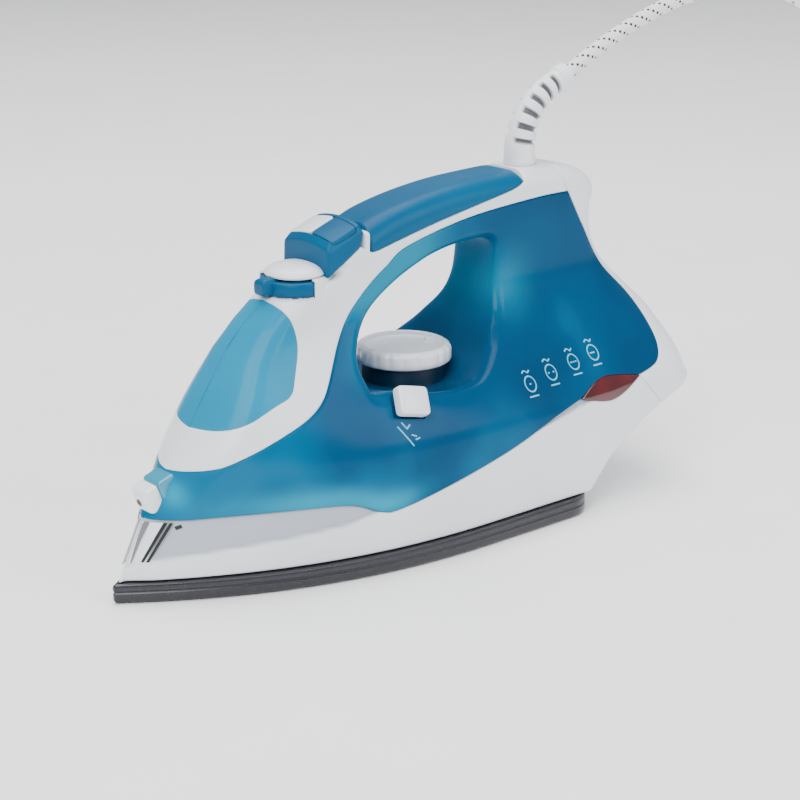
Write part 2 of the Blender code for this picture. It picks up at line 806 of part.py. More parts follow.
def build_tank():
    finish = blue_tank()
    tank = slab("water_tank", tank_outline(), finish, hole=OPENING_LOOP)
    hollow = slab(
        "hollow", inset(tank_outline(), SHELL_WALL), finish, shrink=SHELL_WALL,
        hole=opening_outline(SHELL_WALL), grid=14.0, rings=(4.0,),
    )
    tunnel_radius = (SHAFT_RADIUS + RUNNING_CLEARANCE + TUNNEL_WALL) * MM
    x = dial_axis()
    above_dial = level(DIAL_BASE + DIAL_THICKNESS + CUTTER_SPARE)
    cut(hollow, rod("tunnel", (x, 0, 0), (x, 0, above_dial), tunnel_radius, finish, 12))
    rod_x = lever_axis()
    valve_radius = (VALVE_ROD_RADIUS + RUNNING_CLEARANCE + TUNNEL_WALL) * MM
    above_band = level(LEVER_BASE + LEVER_THICKNESS)
    cut(hollow, rod("tunnel", (rod_x, 0, 0), (rod_x, 0, above_band), valve_radius, finish, 12))
    centre, outward, turn = clean_frame()
    boss_size = (CLEAN_LENGTH + 2 * BOSS_WALL, CLEAN_WIDTH + 2 * BOSS_WALL, CLEAN_BOSS_DEPTH)
    boss_centre = centre - outward * CLEAN_BOSS_DEPTH / 4 * MM
    boss = block("boss", boss_centre, tuple(length * MM for length in boss_size), finish, turn)
    cut(hollow, boss)
    nose_centre, ahead = nozzle_frame()
    cut(hollow, rod("boss", nose_centre, nose_centre - ahead * NOZZLE_BOSS_LENGTH * MM,
                    (NOZZLE_NECK_RADIUS + NOZZLE_BOSS_WALL) * MM, finish, 12))
    cut(tank, hollow)
    bore = (SHAFT_RADIUS + RUNNING_CLEARANCE) * MM
    cut(tank, rod("bore", (x, 0, 0), (x, 0, above_dial), bore, finish, 12))
    bore = (VALVE_ROD_RADIUS + RUNNING_CLEARANCE) * MM
    cut(tank, rod("bore", (rod_x, 0, 0), (rod_x, 0, above_band), bore, finish, 12))
    dial_room = (DIAL_RADIUS + DIAL_ROOM_GAP) * MM
    cut(tank,
        rod("dial_room", (x, 0, level(DIAL_BASE) - GAP * MM), (x, 0, above_dial), dial_room, finish, 32))
    collar_room = (COLLAR_RADIUS + GAP) * MM
    cut(tank,
        rod("collar_seat", (x, 0, collar_base() - GAP * MM), (x, 0, above_dial), collar_room, finish, 32))
    seat = block(
        "seat", centre + outward * (CUTTER_SPARE / 2 - CLEAN_SEAT_DEPTH) * MM,
        ((CLEAN_LENGTH + CLEAN_SEAT_GAP) * MM, (CLEAN_WIDTH + CLEAN_SEAT_GAP) * MM, CUTTER_SPARE * MM),
        finish, turn, 0.002, 1,
    )
    cut(tank, seat)
    stem = (CLEAN_STEM_RADIUS + RUNNING_CLEARANCE) * MM
    cut(tank, rod("stem_bore", centre + outward * 0.002, centre - outward * CLEAN_STEM_ROOM * MM, stem,
                  finish, 12))
    neck = (NOZZLE_NECK_RADIUS + GAP) * MM
    cut(tank, rod("neck_bore", nose_centre - ahead * NOZZLE_NECK_LENGTH * MM,
                  nose_centre + ahead * CUTTER_SPARE * MM, neck, finish))
    cut(tank, nozzle_room(finish))
    fill = (FILLER_RADIUS + GAP) * MM
    cut(tank, rod("fill_bore", (station(FILLER_STATION), 0, level(FILLER_BASE - FILLER_SOCKET_DEPTH)),
                  (station(FILLER_STATION), 0, level(FILLER_TOP)), fill, finish, 20))
    return tank


def shell_outline():
    return inset(joined(
        RIDGE[2:4], VISOR_BACK, RIDGE[6:], BLOCK_FOOT, (BLOCK_FOOT[1], GRIP_FOOT[-1]),
        tuple(reversed(GRIP_FOOT)),
        (GRIP_FOOT[0], CAP_TOP[0]), CAP_TOP, (CAP_TOP[1], BAND[-1]), tuple(reversed(BAND)),
    ), GAP / 2)


def button_frame():
    """Middle of the button block's sloping top and its turn about Y."""
    front, back = BLOCK_FRONT[1], BLOCK_TOP_BACK
    centre = Vector((
        (station(front[0]) + station(back[0])) / 2, 0, (level(front[1]) + level(back[1])) / 2,
    ))
    return centre, Matrix.Rotation(-BUTTON_TILT, 4, "Y")


def button_width():
    """Width of one button: it follows the block's flank, so the wall beside it keeps its thickness."""
    flank = half_width(*BLOCK_FOOT[1])
    return BUTTON_WIDTH * MM + across(flank) - flank * MM


def pump_lines():
    """Foot and head of each pump, straight under its button."""
    centre, turn = button_frame()
    down = turn @ Vector((0, 0, -1))
    offset = (button_width() + BUTTON_SPLIT * MM) / 2
    for side in (-1, 1):
        head = centre + Vector((0, side * offset, 0)) + down * PUMP_DEPTH * MM
        yield side, head, head + down * PUMP_LENGTH * MM, down


def build_handle_shell():
    finish = white_abs()
    shell = slab("handle_shell", shell_outline(), finish)
    x = lever_axis()
    radius, root, top = (LEVER_RADIUS - TURRET_INSET) * MM, level(LEVER_BASE - 0.4), level(TURRET_TOP)
    turret = turned(
        "turret",
        [(0, root), (radius, root), (radius, top - 0.003), (radius - 0.0023, top - 0.0006),
         (radius / 2, top), (0, top)],
        (x, 0, 0), finish, 28,
    )
    room = 2 * CUTTER_SPARE * MM
    block_face = station(BLOCK_FOOT[0][0]) - GAP * MM
    cut(turret, block("block_room", (block_face + room / 2, 0, top), (room, 1.5 * room, 1.5 * room), finish))
    join(shell, turret)
    slot = (LEVER_RADIUS + RUNNING_CLEARANCE) * MM
    low = level(LEVER_BASE) - RUNNING_CLEARANCE * MM
    high = low + (LEVER_THICKNESS + 2 * RUNNING_CLEARANCE) * MM
    cut(shell, rod("lever_slot", (x, 0, low), (x, 0, high), slot, finish, 36))
    knob_room = block(
        "knob_room", (x - (LEVER_RADIUS + LEVER_KNOB_LENGTH / 2) * MM, 0, (low + high) / 2),
        (KNOB_ROOM_LENGTH * MM, KNOB_ROOM_WIDTH * MM, high - low - 0.0001), finish,
    )
    cut(shell, knob_room)
    bore = (VALVE_ROD_RADIUS + RUNNING_CLEARANCE) * MM
    cut(shell, rod("rod_bore", (x, 0, level(60)), (x, 0, low + 0.001), bore, finish, 12))
    fill = (FILLER_RADIUS + GAP) * MM
    fill_x = station(FILLER_STATION)
    cut(shell, rod("fill_bore", (fill_x, 0, level(FILLER_BASE - CUTTER_SPARE / 2)),
                   (fill_x, 0, level(FILLER_TOP + CUTTER_SPARE / 2)), fill, finish, 20))
    for _, head, foot, down in pump_lines():
        cut(shell, rod("pump_bore", head - down * PUMP_DEPTH * MM, foot + down * GAP * MM,
                       (PUMP_RADIUS + GAP) * MM, finish, 12))
    swivel = station(SWIVEL_STATION)
    cut(shell, rod("swivel_bore", (swivel, 0, level(SWIVEL_FLOOR) - GAP * MM),
                   (swivel, 0, level(SWIVEL_FLOOR + CUTTER_SPARE)),
                   (SWIVEL_RADIUS + RUNNING_CLEARANCE) * MM, finish, 24))
    return shell


def build_grip():
    outline = joined(GRIP_TOP, (GRIP_TOP[-1], GRIP_FOOT[0]), GRIP_FOOT,
                     (GRIP_FOOT[-1], (122.9, 140.5), GRIP_TOP[0]))
    grip = slab("grip_inlay", inset(outline, GAP / 2), blue_abs(), rings=(1.6, 4.0))
    swivel = station(SWIVEL_STATION)
    room = (SWIVEL_RADIUS + SWIVEL_ROOM_GAP) * MM
    cut(grip, rod("swivel_room", (swivel, 0, level(SWIVEL_FLOOR - CUTTER_SPARE / 2)),
                  (swivel, 0, level(SWIVEL_FLOOR + CUTTER_SPARE)), room, blue_abs(), 24))
    return grip


def rear_outline():
    return inset(joined(
        REAR, HEEL_TOP, (HEEL_FOOT[0], LENS_FOOT[1]), (LENS_FOOT[1], LENS_FOOT[0]), TANK_BACK,
        (TANK_BACK[-1], REAR[0]),
    ), GAP / 2)


def build_rear_cover():
    finish = white_abs()
    cover = slab("rear_cover", rear_outline(), finish)
    cut(cover, slab("hollow", REAR_HOLLOW, finish, shrink=SHELL_WALL, rings=()))
    way_foot, way_head = [(station(s), 0, level(z)) for s, z in WIRE_WAY]
    cut(cover, rod("wire_way", way_foot, way_head, WIRE_WAY_RADIUS * MM, finish, 12))
    head_face = Vector((station(SCREW_STATION), 0, level(SCREW_LEVEL)))
    inward = Vector((-MM, 0, 0))
    outside = head_face - inward * CUTTER_SPARE
    shank_end = head_face + inward * (SCREW_LENGTH + SCREW_BORE_SPARE)
    cut(cover, rod("screw_bore", shank_end, outside, (SCREW_SHANK_RADIUS + GAP) * MM, finish, 12))
    head_floor = head_face + inward * (SCREW_HEAD_HEIGHT + SCREW_HEAD_GAP)
    cut(cover, rod("head_bore", head_floor, outside, (SCREW_HEAD_RADIUS + GAP) * MM, finish, 16))
    screw = turned(
        "rear_cover_screw",
        [(0, 0), (SCREW_HEAD_RADIUS * MM, 0), (SCREW_HEAD_RADIUS * MM, SCREW_HEAD_HEIGHT * MM),
         (SCREW_SHANK_RADIUS * MM, SCREW_HEAD_HEIGHT * MM), (SCREW_SHANK_RADIUS * MM, SCREW_LENGTH * MM),
         (0, SCREW_LENGTH * MM)],
        head_face, steel(), 16, Matrix.Rotation(-math.pi / 2, 4, "Y"),
    )
    return cover, screw


def build_terminal_block():
    size = tuple(length * MM for length in TERMINAL_SIZE)
    return block("terminal_block", (station(TERMINAL_STATION), 0, level(SCREW_LEVEL)), size,
                 material("cream_nylon", (0.7, 0.66, 0.55), 0.5), bevel=0.0008, segments=1)


# ---------------------------------------------------------------- controls

def collar_base():
    return level(DIAL_BASE) - GAP * MM - COLLAR_HEIGHT * MM


def build_dial(thermostat_top):
    x = dial_axis()
    base = level(DIAL_BASE)
    top = base + DIAL_THICKNESS * MM
    inner = (DIAL_RADIUS - DIAL_RIM_WIDTH) * MM
    profile = [
        (0, base), ((DIAL_RADIUS - 0.6) * MM, base), (DIAL_RADIUS * MM, base + 0.0006),
        (DIAL_RADIUS * MM, top - 0.002), ((DIAL_RADIUS - 1.4) * MM, top - 0.0004), (inner + 0.0006, top),
        (inner - 0.0004, top - DIAL_DISH_DEPTH * MM), (0, top - DIAL_DISH_DEPTH * MM + 0.0004),
    ]
    dial = turned("dial", profile, (x, 0, 0), white_abs(), 40)
    pointer = block(
        "pointer", (x - inner + POINTER_INSET * MM, 0, top - 0.0005),
        tuple(length * MM for length in POINTER_SIZE),
        white_abs(), bevel=0.0005, segments=1,
    )
    join(dial, pointer)
    collar_low = collar_base()
    bore = (SHAFT_RADIUS + RUNNING_CLEARANCE) * MM
    turned(
        "dial_collar",
        [(bore, collar_low), (COLLAR_RADIUS * MM, collar_low), (COLLAR_RADIUS * MM, base - GAP * MM),
         (bore, base - GAP * MM)],
        (x, 0, 0), material("navy_abs", (0.004, 0.06, 0.14), 0.4), 36,
    )
    rod("thermostat_shaft", (x, 0, thermostat_top + GAP * MM), (x, 0, base - GAP * MM), SHAFT_RADIUS * MM,
        steel(), 14)
    return dial


def build_lever(cover_top):
    x = lever_axis()
    low = level(LEVER_BASE)
    high = low + LEVER_THICKNESS * MM
    finish = blue_abs()
    profile = [(0, low), ((LEVER_RADIUS - 0.6) * MM, low), (LEVER_RADIUS * MM, low + 0.0006),
               (LEVER_RADIUS * MM, high - 0.0006), ((LEVER_RADIUS - 0.6) * MM, high), (0, high)]
    lever = turned("steam_lever", profile, (x, 0, 0), finish, 32)
    knob = block(
        "knob", (x - LEVER_RADIUS * MM - 0.001, 0, (low + high) / 2),
        (LEVER_KNOB_LENGTH * MM, LEVER_KNOB_WIDTH * MM, LEVER_THICKNESS * MM - 0.0002), finish, bevel=0.002,
    )
    join(lever, knob)
    rod("steam_valve_rod", (x, 0, cover_top + GAP * MM), (x, 0, low - GAP * MM), VALVE_ROD_RADIUS * MM,
        material("white_nylon", (0.8, 0.8, 0.78), 0.4), 12)
    return lever


def block_outline():
    return inset(joined(
        (BLOCK_FOOT[0], BLOCK_FRONT[0]), BLOCK_FRONT, (BLOCK_FRONT[-1], BLOCK_BACK[-1]),
        tuple(reversed(BLOCK_BACK)),
        (BLOCK_FOOT[1], BLOCK_FOOT[0]),
    ), GAP / 2)


def build_buttons():
    housing_finish = blue_abs()
    housing = slab("button_housing", block_outline(), housing_finish, rings=(1.6, 4.0))
    centre, turn = button_frame()
    up = turn @ Vector((0, 0, 1))
    room = (BUTTON_HEIGHT - BUTTON_PROUD + BUTTON_TRAVEL + GAP) * MM
    room_width = 2 * button_width() + (BUTTON_SPLIT + 2 * RUNNING_CLEARANCE) * MM
    cut(housing, block(
        "button_room", centre + up * (CUTTER_SPARE / 2 * MM - room),
        ((BUTTON_LENGTH + 2 * RUNNING_CLEARANCE) * MM, room_width, CUTTER_SPARE * MM),
        housing_finish, turn,
    ))
    offset = (button_width() + BUTTON_SPLIT * MM) / 2
    middle = BUTTON_PROUD * MM - BUTTON_HEIGHT * MM / 2
    names = {-1: ("burst", blue_abs()), 1: ("spray", white_abs())}
    for side, head, foot, down in pump_lines():
        name, finish = names[side]
        cut(housing,
            rod("plunger_bore", centre + Vector((0, side * offset, 0)), head + down * CUTTER_SPARE / 2 * MM,
                         (PLUNGER_RADIUS + RUNNING_CLEARANCE) * MM, housing_finish, 12))
        block(name + "_button", centre + up * middle + Vector((0, side * offset, 0)),
              (BUTTON_LENGTH * MM, button_width(), BUTTON_HEIGHT * MM), finish, turn, 0.0012)
        seat = centre + Vector((0, side * offset, 0))
        plunger_top = seat + up * (middle - BUTTON_HEIGHT * MM / 2 - GAP * MM)
        plunger_foot = head + down * PLUNGER_ENTRY * MM
        rod(name + "_plunger", plunger_top, plunger_foot, PLUNGER_RADIUS * MM, steel(), 12)
        pump = rod(name + "_pump", head, foot, PUMP_RADIUS * MM,
                   material("white_nylon", (0.8, 0.8, 0.78), 0.4), 16)
        cut(pump, rod("pump_bore", head - down * 0.002, foot - down * 0.002,
                      (PLUNGER_RADIUS + RUNNING_CLEARANCE) * MM,
                      steel(), 12))
    return housing


def build_clean_button():
    centre, outward, turn = clean_frame()
    lift = (CLEAN_TRAVEL + GAP - CLEAN_SEAT_DEPTH) * MM
    button = block(
        "self_clean_button", centre + outward * (lift + CLEAN_THICKNESS * MM / 2),
        (CLEAN_LENGTH * MM, CLEAN_WIDTH * MM, CLEAN_THICKNESS * MM), white_abs(), turn, 0.0026, 3,
    )
    rod("self_clean_stem", centre + outward * (lift - GAP * MM), centre - outward * CLEAN_STEM_LENGTH * MM,
        CLEAN_STEM_RADIUS * MM, steel(), 12)
    return button


def build_nozzle():
    centre, ahead = nozzle_frame()
    neck_start = centre - ahead * (NOZZLE_NECK_LENGTH - GAP) * MM
    rod("nozzle_neck", neck_start, centre + ahead * NOZZLE_COLLAR * MM, NOZZLE_NECK_RADIUS * MM,
        cyan_visor(), 20)
    turn = (-ahead).to_track_quat("X", "Z").to_matrix().to_4x4()
    middle = centre + ahead * (NOZZLE_COLLAR + GAP + NOZZLE_CAP_LENGTH / 2) * MM
    cap = block(
        "spray_nozzle", middle, (NOZZLE_CAP_LENGTH * MM, NOZZLE_CAP_WIDTH * MM, NOZZLE_CAP_WIDTH * MM),
        white_abs(), turn, 0.0024, 3,
    )
    return cut(cap, rod("jet", middle + ahead * 0.001, middle + ahead * 0.01, 0.0008, steel(), 8))


def build_filler():
    finish = cyan_visor()
    outline = inset(joined(RIDGE[3:7], tuple(reversed(VISOR_BACK))), GAP / 2)
    visor = slab("filler_cover", outline, finish, rings=(2.0, 5.0), grid=9.0)
    hollow = inset(outline, VISOR_WALL)
    opened = [(s + (9.0 if s > 60 and z < 113 else 0.0), z - (6.0 if z < 86 and s > 48 else 0.0)) for s,
              z in hollow]
    cut(visor, slab("hollow", opened, finish, shrink=VISOR_WALL, rings=(4.0,), grid=9.0))
    slope = math.atan2(level(97) - level(69.4), station(58) - station(40))
    ridge_turn = Matrix.Rotation(-slope, 4, "Y")
    tab = block("tab", (station(50.2), 0, level(88)), (0.012, TAB_WIDTH * MM, 0.005), finish, ridge_turn,
                0.0012)
    join(visor, tab)
    pin_reach = HINGE_PIN_LENGTH * MM / 2
    hinge = (station(HINGE_STATION), level(HINGE_LEVEL))
    pin_bore = rod("pin_bore", (hinge[0], -pin_reach - GAP * MM, hinge[1]),
                   (hinge[0], pin_reach + 0.02, hinge[1]),
                   (HINGE_PIN_RADIUS + GAP) * MM, finish, 12)
    cut(visor, pin_bore)
    rod("filler_hinge_pin", (hinge[0], -pin_reach, hinge[1]), (hinge[0], pin_reach, hinge[1]),
        HINGE_PIN_RADIUS * MM, steel(), 12)
    base, top = level(FILLER_BASE), level(FILLER_TOP)
    neck = [(FILLER_BORE * MM, base), (FILLER_RADIUS * MM, base), (FILLER_RADIUS * MM, top - 0.0006),
            (FILLER_RADIUS * MM - 0.0006, top), (FILLER_BORE * MM, top)]
    turned("filler_neck", neck, (station(FILLER_STATION), 0, 0), blue_tank(), 24)
    return visor


def build_lens():
    outline = inset(joined(LENS_TOP[:2], LENS_TOP[1:], LENS_FOOT[:2], LENS_FOOT[1:]), GAP / 2)
    return slab("lamp_lens", outline, material("red_lens", (0.10, 0.015, 0.02), 0.15, transmission=0.3),
                rings=())


# ---------------------------------------------------------------- lead

def lead_point(point):
    """A point of the lead's route: it keeps its size, moves with the swivel and stays on the floor."""
    s, y, z = point
    x = station(SWIVEL_STATION) + (s - SWIVEL_STATION) * MM
    lift = (level(DESIGN_HEIGHT) - DESIGN_HEIGHT * MM) * min(z / DESIGN_HEIGHT, 1.0)
    return (x, y * MM, z * MM + lift)


def build_swivel():
    x = station(SWIVEL_STATION)
    low = level(SWIVEL_FLOOR)
    top = level(DESIGN_HEIGHT) + 0.0006
    turned(
        "swivel_bush",
        [(0, low), (SWIVEL_RADIUS * MM, low), (SWIVEL_RADIUS * MM, top), (0, top)], (x, 0, 0),
        white_abs(), 24,
    )
    route = curve_through(GUARD_ROUTE, 3.0)
    points = [Vector(lead_point(p)) for p in route]
    shift = Vector((x, 0, top + GAP * MM)) - points[0]
    points = [p + shift * (1 - k / (len(points) - 1)) for k, p in enumerate(points)]
    points[1].x = x
    narrowing = (1.0 - GUARD_MOUTH_RADIUS / SWIVEL_RADIUS) / (len(points) - 1)
    radii = [1.0 - narrowing * k for k in range(len(points))]
    return tube("cord_guard", points, SWIVEL_RADIUS * MM, white_abs(), 3, radii)


def build_cord():
    finish = material("cotton_braid", (0.75, 0.76, 0.78), 0.9)
    route = curve_through(CORD_ROUTE, 14.0)
    route[0] = (route[0][0] + CORD_GAP, route[0][1], route[0][2] + CORD_GAP / 2)
    return tube("cord", [lead_point(p) for p in route], CORD_RADIUS * MM, finish, 2)


def coil_centre():
    return lead_point((COIL_STATION, COIL_SIDE, 0))


def build_coil():
    x, y, _ = coil_centre()
    inner, outer = COIL_INNER_RADIUS * MM, COIL_OUTER_RADIUS * MM
    top = COIL_HEIGHT * MM
    round_off = 0.003
    profile = [(inner, round_off), (inner + round_off, 0.0003), (outer - round_off, 0.0003),
               (outer, round_off),
               (outer, top - round_off), (outer - round_off, top), (inner + round_off, top),
               (inner, top - round_off)]
    return turned("cord_coil", profile, (x, y, 0), material("cotton_braid", (0.75, 0.76, 0.78), 0.9), 32)


def build_tie():
    """Flat strap closed round the coil's section on its far side."""
    x, y, _ = coil_centre()
    mid = (COIL_INNER_RADIUS + COIL_OUTER_RADIUS) / 2 * MM
    wide = (COIL_OUTER_RADIUS - COIL_INNER_RADIUS + TIE_THICKNESS) * MM
    centre = (x, y + mid, (COIL_HEIGHT + TIE_THICKNESS / 2 + GAP) * MM)
    return block("cord_tie", centre, (TIE_WIDTH * MM, wide, TIE_THICKNESS * MM), black_rubber(),
                 bevel=0.0003, segments=1)


def build_plug():
    """Two-pin plug lying in the middle of the coil, upright on its cord end."""
    x, y, _ = coil_centre()
    finish = material("plug_pvc", (0.72, 0.73, 0.75), 0.45)
    low = (COIL_HEIGHT + GAP) * MM
    start = x - PLUG_BACK * MM
    side_line = y + PLUG_SIDE * MM
    body = block("plug_body", (start + PLUG_LENGTH * MM / 2, side_line, low + PLUG_HEIGHT * MM / 2),
                 (PLUG_LENGTH * MM, PLUG_WIDTH * MM, PLUG_HEIGHT * MM), finish, bevel=0.004)
    face = start + PLUG_LENGTH * MM
    for side, name in ((-1, "plug_pin_left"), (1, "plug_pin_right")):
        y_pin = side_line + side * PLUG_PIN_SPACING / 2 * MM
        z_pin = low + PLUG_HEIGHT * MM / 2
        rod(name, (face + GAP * MM, y_pin, z_pin), (face + PLUG_PIN_LENGTH * MM, y_pin, z_pin),
            PLUG_PIN_RADIUS * MM,
            material("brass_pin", (0.75, 0.70, 0.55), 0.3, 1.0), 14)
    return body


def main():
    clear_scene()
    build_soleplate()
    _, _, cover_top = build_heater()
    thermostat_top = build_thermostat(cover_top)
    skirt = build_skirt()
    for x, radius in ((dial_axis(), SHAFT_RADIUS), (lever_axis(), VALVE_ROD_RADIUS)):
        cut(skirt, rod("bore", (x, 0, 0.020), (x, 0, level(60)), (radius + RUNNING_CLEARANCE) * MM,
                       white_abs(), 12))
    build_tank()
    build_handle_shell()
    build_grip()
    build_rear_cover()
    build_terminal_block()
    build_dial(thermostat_top)
    build_lever(cover_top)
    build_buttons()
    build_clean_button()
    build_nozzle()
    build_filler()
    build_lens()
    build_swivel()
    build_cord()
    build_coil()
    build_tie()
    build_plug()


if __name__ == "__main__":
    main()
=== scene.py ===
"""Looks of a steam iron: shells, tank, controls, sole and braided lead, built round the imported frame.

Lengths are in millimetres until they reach a mesh. A side view gives the distance s from the tip of the
sole and the height z; y is the distance from the middle plane, negative on the side of the
self-clean button. The nose points to -X.
"""

import logging
import math
from dataclasses import dataclass
from enum import Enum
from typing import Callable, Optional, Sequence

import bmesh
import bpy
import numpy as np
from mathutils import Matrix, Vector

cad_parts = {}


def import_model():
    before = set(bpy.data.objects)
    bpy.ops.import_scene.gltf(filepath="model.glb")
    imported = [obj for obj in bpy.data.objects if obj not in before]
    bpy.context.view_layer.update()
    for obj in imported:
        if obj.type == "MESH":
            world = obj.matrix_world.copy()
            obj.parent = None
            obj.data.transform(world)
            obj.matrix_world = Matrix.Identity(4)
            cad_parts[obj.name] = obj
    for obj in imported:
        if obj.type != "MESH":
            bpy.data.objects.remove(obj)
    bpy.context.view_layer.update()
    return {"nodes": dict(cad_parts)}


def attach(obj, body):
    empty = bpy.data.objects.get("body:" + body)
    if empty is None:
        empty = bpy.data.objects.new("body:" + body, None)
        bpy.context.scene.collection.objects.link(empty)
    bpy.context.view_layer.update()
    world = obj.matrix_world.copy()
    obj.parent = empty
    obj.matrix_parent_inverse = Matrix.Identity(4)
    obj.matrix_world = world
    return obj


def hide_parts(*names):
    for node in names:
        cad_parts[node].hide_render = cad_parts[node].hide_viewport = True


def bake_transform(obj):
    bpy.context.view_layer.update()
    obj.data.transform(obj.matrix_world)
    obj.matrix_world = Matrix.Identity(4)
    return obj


LOG = logging.getLogger("iron")
MM = 0.001
MIDDLE_STATION = 153.0
WELD = 2e-6
LEVER_STATION = 97.5
TURRET_RADIUS = 13.6
DIAL_STATION = 158.0
Curve = Sequence[Sequence[float]]


class Body(Enum):
    """Bodies of the frame that a piece can ride on."""

    HOUSING = "housing"
    DIAL = "dial"
    LEVER = "steam_lever"
    BURST = "burst_button"
    SPRAY = "spray_button"
    CLEAN = "self_clean_button"
    FILLER = "filler_cover"
    SWIVEL = "cord_swivel"


class Pattern(Enum):
    """How a finish's surface was made, which decides its fine relief."""

    MOULDED = "moulded in a spark-eroded tool"
    POLISHED = "moulded in a polished tool"
    BRUSHED = "drawn or turned metal"
    CAST = "die cast"
    COATED = "sprayed non-stick coat"
    BRAIDED = "braided cotton sleeve"


# ---------------------------------------------------------------- numbers and curves

def linear(code: str) -> tuple[float, float, float, float]:
    """Turns an sRGB hex colour into linear light.

    Args:
        code: six hex digits.

    Returns:
        Red, green and blue in linear light, and an alpha of 1.
    """
    parts = [int(code[i:i + 2], 16) / 255 for i in (0, 2, 4)]
    return (*[p / 12.92 if p <= 0.04045 else ((p + 0.055) / 1.055) ** 2.4 for p in parts], 1.0)


def smooth_step(t: np.ndarray) -> np.ndarray:
    """Eases 0 to 1: 3t squared minus 2t cubed, held outside that range."""
    t = np.clip(t, 0.0, 1.0)
    return t * t * (3.0 - 2.0 * t)


def signed_power(value: np.ndarray, power: float) -> np.ndarray:
    """The size of a value to a power, with the value's sign."""
    return np.sign(value) * np.abs(value) ** power


def smooth_curve(points: Curve, per_span: int = 16) -> np.ndarray:
    """Curve through the points: each span is the Catmull-Rom cubic of its two ends and their neighbours.

    Args:
        points: places in any number of dimensions.
        per_span: steps from one point to the next.

    Returns:
        Places along the curve, ends included.
    """
    given = np.asarray(points, float)
    padded = np.vstack([given[:1], given, given[-1:]])
    u = np.linspace(0, len(given) - 1, (len(given) - 1) * per_span + 1)
    span = np.minimum(u.astype(int), len(given) - 2)
    t = (u - span)[:, None]
    a, b, c, d = (padded[span + k] for k in range(4))
    cubic = 2 * b + (c - a) * t + (2 * a - 5 * b + 4 * c - d) * t ** 2 + (3 * b - a - 3 * c + d) * t ** 3
    return 0.5 * cubic


def lengths(curve: np.ndarray) -> np.ndarray:
    """Distance along a polyline at each of its points."""
    return np.concatenate([[0.0], np.cumsum(np.linalg.norm(np.diff(curve, axis=0), axis=1))])


def sample(curve: np.ndarray, at: np.ndarray) -> np.ndarray:
    """Places on a polyline at distances along it."""
    known = lengths(curve)
    return np.stack([np.interp(at, known, curve[:, k]) for k in range(curve.shape[1])], -1)


def evenly(curve: np.ndarray, step: float) -> np.ndarray:
    """The polyline with its points spread evenly, about a step apart."""
    total = lengths(curve)[-1]
    return sample(curve, np.linspace(0, total, max(int(total / step), 2) + 1))


def distance(points: np.ndarray, curve: np.ndarray) -> np.ndarray:
    """Shortest distance from each point to a polyline: the least over its straight pieces.

    Args:
        points: array of places in two dimensions, any shape.
        curve: the polyline's corners.

    Returns:
        One distance for each point.
    """
    best = np.full(points.shape[:-1], 1e9)
    for start, end in zip(curve, curve[1:]):
        step = end - start
        size = float(step @ step)
        if size < 1e-12:
            continue
        t = np.clip(((points - start) @ step) / size, 0.0, 1.0)
        best = np.minimum(best, np.linalg.norm(points - start - t[..., None] * step, axis=-1))
    return best


def edge_loss(depth: np.ndarray, radius: np.ndarray) -> np.ndarray:
    """What a round edge takes off a half width: radius less the circle's height at this depth."""
    reach = np.clip(radius - depth, 0.0, radius)
    return np.where(depth < radius, radius - np.sqrt(np.maximum(radius ** 2 - reach ** 2, 0.0)), 0.0)


# ---------------------------------------------------------------- side view of the body

RIDGE = (
    (3.2, 9.0), (15.5, 34.8), (28, 53.6), (40, 69.4), (58, 97), (68, 108), (80, 117.5),
    (90, 123), (97, 125.3), (103.2, 126),
)
TANK_FOOT = ((17, 34.8), (53, 35), (92, 33.2), (108, 27.4), (118, 27), (150, 34), (182, 42), (205, 50), (224, 55.5))
LENS_TOP = ((224, 55.5), (241, 62), (264, 58.8))
LENS_FOOT = ((264, 58.8), (245, 51), (224, 55.5))
TANK_BACK = ((264, 58.8), (279, 63), (284, 75), (281, 91), (269, 106.5), (256, 126), (245, 145))
BAND = (
    (28, 53.6), (38, 55.5), (51, 60), (66, 66), (80, 72), (89, 78), (96, 86), (105, 98), (114, 109),
    (125, 119.5), (135, 126.5), (147, 133.5), (182, 141), (223, 144.5), (245, 145),
)
VISOR_BACK = ((40, 69.4), (50, 72), (66, 78.5), (75, 82), (79.5, 89), (84, 99), (84, 107), (80, 117.5))
OPENING = (
    (114, 77), (113, 87), (117, 96), (124, 105), (133, 112.5), (143, 118.5), (153, 123), (163, 126.5),
    (176, 129), (190, 129.8), (197.5, 129), (200.5, 125.5), (200.2, 118), (198.5, 108), (196, 98.5),
    (190.5, 91), (182, 83.5), (173, 77.5), (165, 75.6), (140, 75.4), (120, 75.4), (114, 77),
)
BLOCK_FOOT = ((103.2, 126), (121, 137))
BLOCK_FRONT = ((103.2, 137.4), (105.5, 139.8))
GRIP_TOP = ((127.8, 145), (136, 148.3), (148, 151.3), (163, 154), (182, 156.2), (206, 157.3), (215, 157.5))
GRIP_FOOT = ((217.5, 152.8), (210, 150.2), (189, 146.3), (165, 141.8), (142, 136.8), (131, 134.2), (127, 133.8))
CAP_TOP = ((218.5, 157.5), (240, 157.5))
REAR = (
    (240, 157.5), (252, 155.5), (262, 150.5), (266, 143), (264, 133), (266, 121), (274, 108), (286, 96),
    (297, 84), (303.5, 70), (306.15, 57),
)
HEEL_TOP = ((306.15, 57), (304.5, 51.5), (297, 48.3), (279, 41.4))
HEEL_FOOT = ((279, 41.4), (262, 33), (247, 23.5), (238, 14), (233.5, 9.0))
